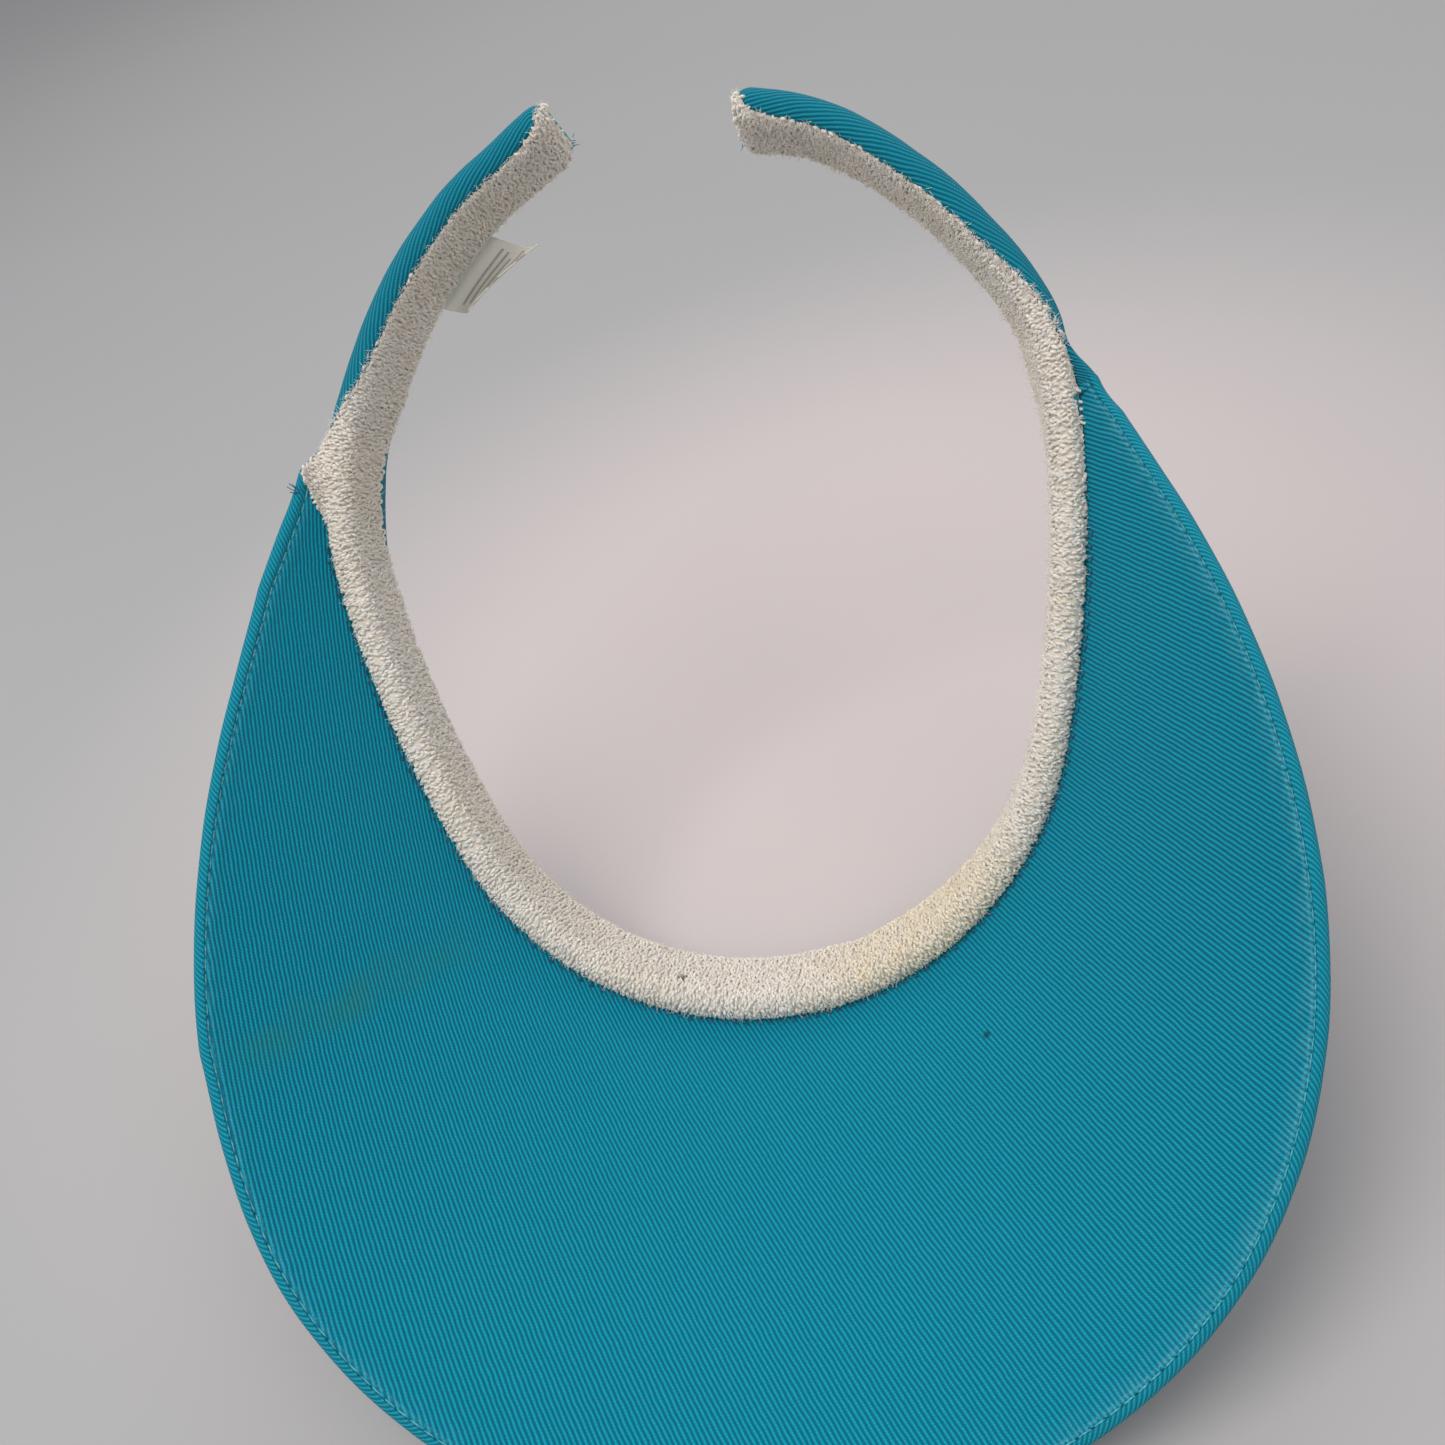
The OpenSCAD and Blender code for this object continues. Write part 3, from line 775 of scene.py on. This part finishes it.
def cover_grid(w):
    """The twill: from under the towelling's edge, over the outer face, round the crown edge, to a lip inside."""
    n = len(w)
    start = wrap(w) + 5 + 6 * ease(np.abs(w), corner(w) - 4, corner(w))
    us, hs = [], []
    for t in np.linspace(0, 1, 16):
        a = start * (1 - t)
        sunk = 0.5 * (1 - ease(t, 0.0, 0.12))
        u, h = arc(a, FORK - sunk, ROLL)
        us.append(u), hs.append(h)
    for t in np.linspace(0, 1, 14)[1:]:
        us.append(np.zeros(n) + 0.10 * math.sin(math.pi * t)), hs.append(ROLL + (CROWN - ROLL) * t + np.zeros(n))
    for a in np.linspace(0, -180, 17)[1:]:
        u, h = arc(a, FORK - 0.85 * float(ease(np.array(-a), 105, 150)), CROWN)
        us.append(np.zeros(n) + u), hs.append(np.zeros(n) + h)
    lip = 1.6
    for t in (0.5, 1.0):
        us.append(np.full(n, -THICK + 0.85)), hs.append(np.full(n, CROWN + lip * t))
    return np.array(us).T, np.array(hs).T


def cornered(w, plain):
    """The arm cover's first samples follow the bill's corner, from under the towelling to the outer face."""
    q = gusset(w)
    l, _ = flare(w)
    r = reach_seen(w)
    depth = BACK * (0.35 + 0.65 * q)
    pts = [bill(w, np.maximum(l - 1.0, 0), 0.15 + 0 * w), bill(w, np.maximum(r - 1.2, 0), 0.0 * w)]
    for a in np.linspace(-80, 80, 7):
        er = (ROUND_SEEN - 0.12) * depth / BACK
        pts.append(bill(w, np.maximum(r - 1.2, 0) + er * 0.45 * math.cos(a * D), depth / 2 + er * math.sin(a * D)))
    pts += [bill(w, 0.6 * r, depth + 0.05), bill(w, 0.25 * r, depth + 0.05), band(w, 0.05 + 0 * w, -4.8 + 0 * w)]
    pts = np.stack(pts, 1)
    out = plain.copy()
    count = 20
    for i in np.nonzero(q > 0)[0]:
        run_ = np.concatenate([[0], np.cumsum(np.linalg.norm(np.diff(pts[i], axis=0), axis=1))])
        at = np.linspace(0, run_[-1], count)
        b = np.stack([np.interp(at, run_, pts[i][:, k]) for k in range(3)], -1)
        out[i, :count] = (1 - q[i]) * plain[i, :count] + q[i] * b
    return out


SINK = 0.5


def lower(w):
    """Height on the inner face where the towelling begins, below the crown's middle where it wraps round it."""
    left = np.exp(-((w + 99) / 13.0) ** 2) * 4.2
    front = np.exp(-((w - 15) / 6.0) ** 2) * 2.4
    return CROWN - 1.9 + left + front


def towel_run(w):
    """Whole width of the towelling across the band, from its hem inside to its edge on the bill side."""
    l, k = flare(w)
    plain = (ROLL - lower(w)) + (180 - last_angle(w)) * D * FORK
    return plain + k * np.maximum(l - 1.5, 0)


def towel_point(w, s, rise):
    """A point of the towelling at a run s from its hem, standing rise off its ground."""
    w, s, rise = np.broadcast_arrays(np.asarray(w, float), s, rise)
    hem = lower(w)
    face = ROLL - hem
    tip = np.where(w < 0, TIP_L, TIP_R)
    r = FORK - SINK + rise + 0.55 * ease(np.abs(w), tip - 12, tip - 3)
    a = 180 - (s - face) / FORK / D
    below = np.clip((CROWN - hem - s) / FORK, 0, 1.2)
    h0 = hem + s
    u = np.where(s < face, -FORK - r, -FORK + r * np.cos(a * D))
    h = np.where(s < face, h0, ROLL + r * np.sin(a * D))
    u = np.where(h0 < CROWN, -FORK - r * np.cos(below), u)
    h = np.where(h0 < CROWN, CROWN - r * np.sin(below), h)
    plain = shaped(w, u, h)
    l, k = flare(w)
    start = face + 80 * D * FORK
    total = towel_run(w)
    t = np.clip((s - start) / np.maximum(total - start, 0.5), 0, 1.15)
    a0 = 100.0
    u0, h0 = -FORK + (FORK - SINK) * math.cos(a0 * D), ROLL + (FORK - SINK) * math.sin(a0 * D) + 0 * w
    p0 = shaped(w, u0, h0)
    p1 = shaped(w, u0 + 2.4, h0 + 0.5)
    g, n = grain(w), -skin(w)
    p3 = bill(w, l, -0.35 + 0 * w)
    p2 = p3 - g * (0.45 * l + 0.6)[..., None] + n * 0.5
    t_ = t[..., None]
    soft = (1 - t_) ** 3 * p0 + 3 * t_ * (1 - t_) ** 2 * p1 + 3 * t_ ** 2 * (1 - t_) * p2 + t_ ** 3 * p3
    up = np.array([0, 0, 1.0])
    soft = soft + unit((1 - t_) * up + t_ * n) * rise[..., None]
    mix = (k * (s > start))[..., None]
    return plain * (1 - mix) + soft * mix


def build_side(label, w):
    order = np.argsort(w)
    w = w[order]
    run_w = path_length(w)
    uc, hc = cover_grid(w)
    WW = np.broadcast_to(w[:, None], uc.shape)
    sl = section_length(uc, hc)
    crease = 0.10 * wave_noise(np.broadcast_to(run_w[:, None], sl.shape), sl, 9, 9)
    solid = cornered(w, shaped(WW, uc + crease * 0.5, hc))
    sl = np.concatenate([np.zeros((len(w), 1)), np.cumsum(np.linalg.norm(np.diff(solid, axis=1), axis=2), axis=1)], 1)
    sl = sl - sl[:, -1:]
    flat_c = np.stack([np.broadcast_to(run_w[:, None], sl.shape), sl, sl * 0], -1)
    cover = cloth(label + "_cover_cloth", solid, band_twill, flat_c, np.stack([WW, sl, sl * 0], -1))
    total = towel_run(w)
    st = total[:, None] * np.linspace(0, 1, 44)[None]
    WT = np.broadcast_to(w[:, None], st.shape)
    flat_t = np.stack([np.broadcast_to(run_w[:, None], st.shape), st, st * 0], -1)
    place_t = np.stack([WT, st, 0.4 + st * 0], -1)
    ground = cloth(label + "_towelling_cloth", towel_point(WT, st, 0.0), ground_terry, flat_t, place_t)
    sl = sl - sl[:, :1]
    sizes = (float(run_w[-1]) / 1000, float(sl[:, -1].mean()) / 1000, float(st[:, -1].mean()) / 1000)
    return cover, ground, sizes


def at_towel(w, s, rise):
    """A point of the towelling with its outward, crosswise and lengthwise directions."""
    p = towel_point(w, s, rise)
    n = unit(towel_point(w, s, rise + 0.3) - p + 1e-9)
    c = unit(towel_point(w, s + 0.2, rise) - towel_point(w, s - 0.2, rise) + 1e-9)
    return p, n, c, unit(np.cross(n, c) + 1e-9)


def loops(label, w0, w1, material):
    """Rows of yarn loops across the towelling, laid over and slightly uneven, standing proud at its edges."""
    ws = np.linspace(w0, w1, 3000)
    run_w = path_length(ws)
    rows_w = np.interp(np.arange(0.2, run_w[-1] - 0.05, 0.88), run_w, ws)
    totals = towel_run(rows_w)
    W_, S_, E_ = [], [], []
    for i, (w, total) in enumerate(zip(rows_w, totals)):
        s = np.arange(0.1 + (i % 2) * 0.5, total - 0.1, 1.0)
        W_ += [w] * len(s)
        S_ += list(s)
        E_ += list(total - s)
    W_, S_, E_ = np.array(W_), np.array(S_), np.array(E_)
    n = len(W_)
    W_ = np.clip(W_ + rng.normal(0, 0.15, n), w0, w1)
    S_ = S_ + rng.normal(0, 0.15, n)
    worn = ease(W_, 18, 55) * (1 - ease(W_, 104, 125)) * 0.35 + ease(np.abs(W_), 100, 140) * 0.25
    p, nn, c, b = at_towel(W_, S_, np.full(n, -0.12))
    t = np.linspace(0, 1, 6)
    long = rng.normal(1.22, 0.20, n).clip(0.7, 1.8)
    high = rng.normal(0.44, 0.08, n).clip(0.25, 0.75)
    high = high + 0.12 * ease(E_, 1.4, 0.1) * rng.random(n)
    skew = rng.normal(0.0, 0.30, n) + rng.normal(0, 1.0, n) * worn
    over = rng.normal(0.10, 0.22, n)
    arch = np.sin(np.pi * t)
    # loops at the two hems lie along the band, so the hems stay round
    hem_turn = (np.pi / 2 * ease(np.minimum(E_, S_), 1.25, 0.45) + rng.normal(0, 0.22, n))[:, None]
    c, b = c * np.cos(hem_turn) + b * np.sin(hem_turn), b * np.cos(hem_turn) - c * np.sin(hem_turn)
    paths = p[:, None] + c[:, None] * (long[:, None] * (t - 0.5))[..., None]
    paths = paths + nn[:, None] * (high[:, None] * arch ** 0.7)[..., None]
    paths = paths + b[:, None] * (skew[:, None] * (t - 0.5) + over[:, None] * arch)[..., None]
    radii = rng.normal(0.345, 0.035, n).clip(0.25, 0.45)[:, None] * np.array([0.75, 0.98, 1.05, 1.05, 0.98, 0.7])
    return tubes(label, paths, radii, b, material, sides=4, place=np.stack([W_, S_, rng.random(n)], -1))


def hairs_from(base, d, curl, length, bend, t):
    """Paths of loose yarn ends: along d from their base, bending towards curl."""
    straight = d[:, None] * (length[:, None] * t)[..., None]
    return base[:, None] + straight + curl[:, None] * (bend * length[:, None] * t ** 2)[..., None]


def fuzz(label, w0, w1, material, count):
    """Fine loose fibres that stand off the loops."""
    W_ = rng.uniform(w0, w1, count)
    total = towel_run(W_)
    S_ = np.where(rng.random(count) < 0.30, total - 0.3 + rng.normal(0, 0.4, count), rng.random(count) * total)
    p, nn, c, b = at_towel(W_, S_, np.full(count, 0.5))
    t = np.linspace(0, 1, 4)
    length = rng.uniform(0.5, 1.25, count)
    d = nn * rng.uniform(0.35, 1.0, count)[:, None] + c * rng.normal(0, 0.7, count)[:, None]
    d = unit(d + b * rng.normal(0, 0.7, count)[:, None])
    curl = unit(rng.normal(0, 1, (count, 3)))
    paths = hairs_from(p, d, curl, length, 0.45, t)
    radii = np.full((count, 1), 0.055) * np.array([1, 0.95, 0.8, 0.4])
    shade = 0.6 + 0.4 * rng.random(count)
    return tubes(label, paths, radii, b, material, sides=4, place=np.stack([W_, S_, shade], -1))


def at_turn(w):
    """World position of the band's middle at an angle round the head."""
    return tuple(world(band(np.array(float(w)), -FORK, (CROWN + ROLL) / 2)))


SPLIT_R = 86
STRIP_FROM, STRIP_TO = 104.0, 158.5
BLEND_FROM, BLEND_TO = 98.5, 107.5
FRONT_FUZZ, ARM_FUZZ = 6500, 3600
front_w = np.linspace(-SPLIT, SPLIT_R, 373)


def arm_turns(start, turn, tip):
    """Angles along an arm, closer together at the bill's corner and in the rounded end."""
    body = np.concatenate([np.linspace(start, turn - 0.6, 12), np.linspace(turn - 0.5, tip - 3, 176)])
    return np.concatenate([body, tip - 3 + 3 * np.sin(np.linspace(0, np.pi / 2, 16))[1:]])


left_w, right_w = -arm_turns(SPLIT, CORNER_L, TIP_L), arm_turns(SPLIT_R, CORNER_R, TIP_R)
for label, w, body in (
    ("front", front_w, "bill"), ("left_arm", left_w, "left_arm"), ("right_arm", right_w, "right_arm"),
):
    cover, ground, (long, tall, towel) = build_side(label, w)
    low_w, high_w = float(w.min()), float(w.max())
    if label == "front":
        piles = [loops("front_left_terry_loops", low_w, 0, loop_terry),
                 loops("front_right_terry_loops", 0, high_w, loop_terry)]
    else:
        piles = [loops(label + "_terry_loops", low_w, high_w, loop_terry)]
    hairs = fuzz(label + "_terry_fuzz", low_w, high_w, loop_terry, FRONT_FUZZ if label == "front" else ARM_FUZZ)
    for piece in (cover, ground, *piles, hairs):
        if label == "front":
            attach(piece, "bill")
        else:
            side = -1 if label == "left_arm" else 1
            at_turn(side * BLEND_FROM)
            at_turn(side * BLEND_TO)
            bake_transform(piece)
    if label == "front":
        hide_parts("front_band_cover", "front_core")
        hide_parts("front_sweatband")
    else:
        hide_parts(label + "_cover", label + "_core")
        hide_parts(label + "_towelling")
    if label == "front":
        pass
    else:
        # The arm's flat spring follows the arm's own curve.
        ends = ease(np.linspace(0, 1, 120), 0.0, 1.0)
        wz = STRIP_FROM + (STRIP_TO - STRIP_FROM) * ends
        wz = -wz if label == "left_arm" else wz
        ring = np.array([(-0.75, -2.3), (-0.75, -12.3), (-1.55, -12.3), (-1.55, -2.3)])
        grid = np.stack([band(wz, u + spread(wz), h + 0 * wz) for u, h in ring], 1)
        k = np.arange(grid.shape[0] * 4).reshape(-1, 4)
        nxt = np.roll(k, -1, 1)
        sides = np.stack([k[:-1], k[1:], nxt[1:], nxt[:-1]], -1).reshape(-1, 4)
        strip_faces = np.concatenate([sides, [k[0][::-1], k[-1]]])
        strip = made(label + "_strip_spring", world(grid.reshape(-1, 3)), strip_faces, strip_plastic)
        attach(strip, label)
        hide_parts(label.split("_")[0] + "_spring_strip")

# Seam stitches where the band's towelling meets the bill.
ws = np.linspace(-92, 80, 4000)
s = path_length(ws)
wn = np.interp(np.arange(1.0, s[-1], SEAM_PITCH), s, ws)
wn = wn + rng.normal(0, 0.05, len(wn))
pos = bill(wn, 1.05 + 0.25 * rng.random(len(wn)), np.full(len(wn), -0.2))
tang = np.stack([np.cos(wn * D), np.sin(wn * D), 0 * wn], -1)
seam = stitches("seam_thread", pos, unit(tang + 0.5 * grain(wn)), -skin(wn), 1.35, 0.2, navy_thread, "bill")
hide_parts("seam_stitches")

# ---------------------------------------------------------------- arm ends

for side, label in ((-1, "left"), (1, "right")):
    hs = CROWN + np.arange(6) * 2.3 + 0.6
    tip_at = TIP_L if side < 0 else TIP_R
    w = np.full(6, side * (tip_at - 0.12))
    at = shaped(w, np.full(6, -FORK), hs)
    t = unit(shaped(w, np.full(6, -FORK + 1), hs) - at)
    up = np.stack([np.cos(w * D), np.sin(w * D), 0 * w], -1) * side
    tip = stitches(label + "_tip_thread", at + up * 0.12, t, up, 1.9, 0.24, teal_thread, label + "_arm")
    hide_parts(label + "_tip_stitches")
    # Frayed twill ends that show past the towelling at the tip.
    n = 14
    ww = side * (tip_at - rng.uniform(0.1, 1.0, n))
    hh = (CROWN - 1.0) + rng.normal(0, 0.7, n)
    base = shaped(ww, np.full(n, -THICK + 1.0) + rng.uniform(0, 3.0, n), hh)
    d = unit(np.stack([np.cos(ww * D), np.sin(ww * D), 0 * ww], -1) * side + rng.normal(0, 0.55, (n, 3)))
    tt = np.linspace(0, 1, 5)
    ln = rng.uniform(0.8, 2.2, n)
    paths = hairs_from(base, d, unit(rng.normal(0, 1, (n, 3))), ln, 0.4, tt)
    radii = np.full((n, 1), 0.13) * np.array([1, 1, 0.95, 0.85, 0.5])
    fray = tubes(label + "_tip_fray", paths, radii, unit(rng.normal(0, 1, (n, 3))), teal_thread, sides=4)
    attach(fray, label + "_arm")

# Loose ends of sewing thread at the bill's left corner.
n = 4
base = edge_point(np.full(n, -99.6), np.full(n, -0.6), np.full(n, 0.0)) + rng.normal(0, 0.3, (n, 3))
d = unit(np.array([[-1.0, 0.35, 0.25], [-0.9, 0.9, 0.35], [-1.0, -0.1, 0.5], [-0.6, 1.0, 0.2]]))
bend = np.array([[0.1, 0.9, 0.2], [0.5, 0.1, 0.4], [0.2, 0.9, 0.3], [-0.6, 0.2, 0.5]])
tt = np.linspace(0, 1, 8)
ln = np.array([2.4, 2.0, 2.1, 1.6])
paths = hairs_from(base, d, bend, ln, 0.35, tt)
loose = tubes("loose_threads", paths, np.full((n, 8), 0.09), np.tile([0.0, 0.0, 1.0], (n, 1)), navy_thread, sides=6)
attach(loose, "bill")

# ---------------------------------------------------------------- care label

LABEL_WIDE = 20
HALF = LABEL_WIDE / 2 / R3 / D
MID = -142.9
n, m = 48, 44
wl = np.linspace(MID - HALF, MID + HALF, n)
LW, TT = np.meshgrid(wl, np.linspace(0, 1, m), indexing="ij")
frac = (LW - wl[0]) / (wl[-1] - wl[0])
root_l = band(LW, -2.6 + spread(LW), -17.45 + 0 * LW)
inward = -np.stack([-np.sin(-LW * D), -np.cos(-LW * D), 0 * LW], -1)
along_l = np.stack([-np.cos(-LW * D), np.sin(-LW * D), 0 * LW], -1)
out_l = smooth([0, 0.3, 0.6, 0.85, 0.95, 1.0], [0, 0.33, 0.66, 0.92, 0.985, 1.0], TT) * (11.7 - 3.3 * frac)
lean_l = TT ** 1.15 * (7.8 - 4.3 * frac)
rise_l = smooth([0, 0.25, 0.5, 0.75, 0.9, 1.0], [0, -1.1, -1.5, -0.3, 1.1, 2.6], TT)
rise_l = rise_l + 0.3 * np.sin(3.0 * frac + 0.4) * ease(TT, 0.3, 0.9)
label_grid = root_l + inward * out_l[..., None] + along_l * lean_l[..., None]
label_grid = label_grid + np.array([0, 0, 1.0]) * rise_l[..., None]
TS = np.concatenate([np.zeros((n, 1)), np.cumsum(np.linalg.norm(np.diff(label_grid, axis=1), axis=2), axis=1)], 1)
flat_l = np.stack([TS, (frac - 0.5) * LABEL_WIDE, TS * 0], -1)
tag = cloth("care_label_satin", label_grid, label_satin, flat_l, flat_l)
thick = tag.modifiers.new("thick", "SOLIDIFY")
thick.thickness, thick.offset = 0.00028, 0
bpy.context.view_layer.objects.active = tag
tag.select_set(True)
bpy.ops.object.modifier_apply(modifier="thick")
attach(tag, "left_arm")
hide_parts("care_label")
wq = -141 + 2.8 * np.arange(-2, 3)
cc = band(wq, -FORK + spread(wq), np.full(5, -BAND - 0.55))
along_q = np.stack([np.cos(wq * D), np.sin(wq * D), 0 * wq], -1)
lt = stitches("label_thread", cc, along_q, np.tile([0.0, 0.0, -1.0], (5, 1)), 2.2, 0.22, teal_thread, "left_arm")
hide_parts("label_stitches")

# ---------------------------------------------------------------- front spring

data = frame["nodes"]["front_spring_strip"].data
if data.materials:
    for i in range(len(data.materials)):
        data.materials[i] = strip_plastic
else:
    data.materials.append(strip_plastic)

# ---------------------------------------------------------------- floor, light and camera


# Beyond this line of the floor, x a + y b = c, the paper is painted slightly darker: painted shade of the backdrop
# behind the object.
CREASE = (0.493, 0.870, 0.367)


def floor_material():
    g = Graph("floor_paper")
    coord = g.node("ShaderNodeTexCoord").outputs["Object"]
    broad, fine = g.noise(coord, 3.0, 3.0, 0.5), g.noise(coord, 900.0, 3.0, 0.6)
    colour = g.mix(broad, (0.545, 0.480, 0.465), (0.580, 0.512, 0.495))
    x, y, _ = g.node("ShaderNodeSeparateXYZ", {"Vector": coord}).outputs
    # painted light and shade: within about 6 cm of a point under the head opening the paper keeps its colour, and by
    # 30 cm out it is painted darker and bluer
    far = g.node("ShaderNodeVectorMath", {0: coord, 1: (0.02, 0.12, 0.0)}, operation="DISTANCE").outputs["Value"]
    colour = g.mix(g.ramp(far, 0.06, 0.30), colour, g.mix(1.0, colour, (0.665, 0.745, 0.765), "MULTIPLY"))
    # painted shade: past this line the paper's colour is multiplied a little darker
    painted_shade_line = g.add(g.mul(x, CREASE[0]), g.mul(y, CREASE[1]))
    painted_shade_line = g.add(painted_shade_line, g.mul(g.sub(g.noise(coord, 4.0, 2.0), 0.5), 0.02))
    painted_shade_colour = g.mix(1.0, colour, (1.0, 0.99, 0.98), "MULTIPLY")
    colour = g.mix(g.ramp(painted_shade_line, CREASE[2] - 0.03, CREASE[2] + 0.045), colour, painted_shade_colour)
    dust = g.ramp(g.noise(coord, 210.0, 1.0), 0.83, 0.87)
    colour = g.mix(g.mul(dust, 0.55), colour, (0.25, 0.24, 0.24))
    return g.finish(colour, g.bump(fine, 0.00004, 0.4), 0.85, Specular_IOR_Level=0.2)


FLOOR_HALF, FLOOR_POINTS = 14.0, 24
line = np.linspace(-FLOOR_HALF, FLOOR_HALF, FLOOR_POINTS)
gx, gy = np.meshgrid(line, line, indexing="ij")
idx = np.arange(FLOOR_POINTS ** 2).reshape(FLOOR_POINTS, FLOOR_POINTS)
faces = np.stack([idx[:-1, :-1], idx[1:, :-1], idx[1:, 1:], idx[:-1, 1:]], -1).reshape(-1, 4)
floor = made("floor", np.stack([gx, gy, gx * 0], -1).reshape(-1, 3), faces, floor_material())


def area_light(name, at, to, size, power, colour=(1, 1, 1)):
    data = bpy.data.lights.new(name, "AREA")
    data.shape, data.size, data.energy, data.color = "DISK", size, power, colour
    lamp = bpy.data.objects.new(name, data)
    lamp.location = at
    lamp.rotation_euler = (Vector(to) - Vector(at)).to_track_quat("-Z", "Y").to_euler()
    bpy.context.scene.collection.objects.link(lamp)


area_light("key", (-0.35, -0.30, 1.15), (0.02, 0.06, 0.05), 0.9, 8.6, (1.0, 0.985, 0.975))
area_light("fill", (0.75, -0.75, 0.95), (0.02, 0.04, 0.05), 1.0, 3.2, (0.97, 0.985, 1.0))
area_light("back", (0.1, 1.2, 1.1), (0, 0, 0.05), 1.2, 5.0, (1.0, 1.0, 1.0))

sky = bpy.data.worlds.new("studio")
sky.use_nodes = True
sky.node_tree.nodes["Background"].inputs[0].default_value = (0.93, 0.95, 1.0, 1)
sky.node_tree.nodes["Background"].inputs[1].default_value = 0.60
bpy.context.scene.world = sky
bpy.context.scene.view_settings.view_transform = "Standard"

lens = bpy.data.cameras.new("camera")
lens.sensor_width, lens.sensor_fit = 36.0, "HORIZONTAL"
lens.lens = 36.0 * 1450 / 1445
lens.clip_start, lens.clip_end = 0.01, 20
camera = bpy.data.objects.new("camera", lens)
right = to_world_dir((0.96269, -0.19585, -0.18672))
down = to_world_dir((-0.18142, -0.97913, 0.09162))
ahead = to_world_dir((-0.20077, -0.05433, -0.97813))
place_at = world([55.9, -3.1, 284.3])
camera.matrix_world = Matrix((
    (right.x, -down.x, -ahead.x, place_at[0]),
    (right.y, -down.y, -ahead.y, place_at[1]),
    (right.z, -down.z, -ahead.z, place_at[2]),
    (0, 0, 0, 1),
))
bpy.context.scene.collection.objects.link(camera)
bpy.context.scene.camera = camera
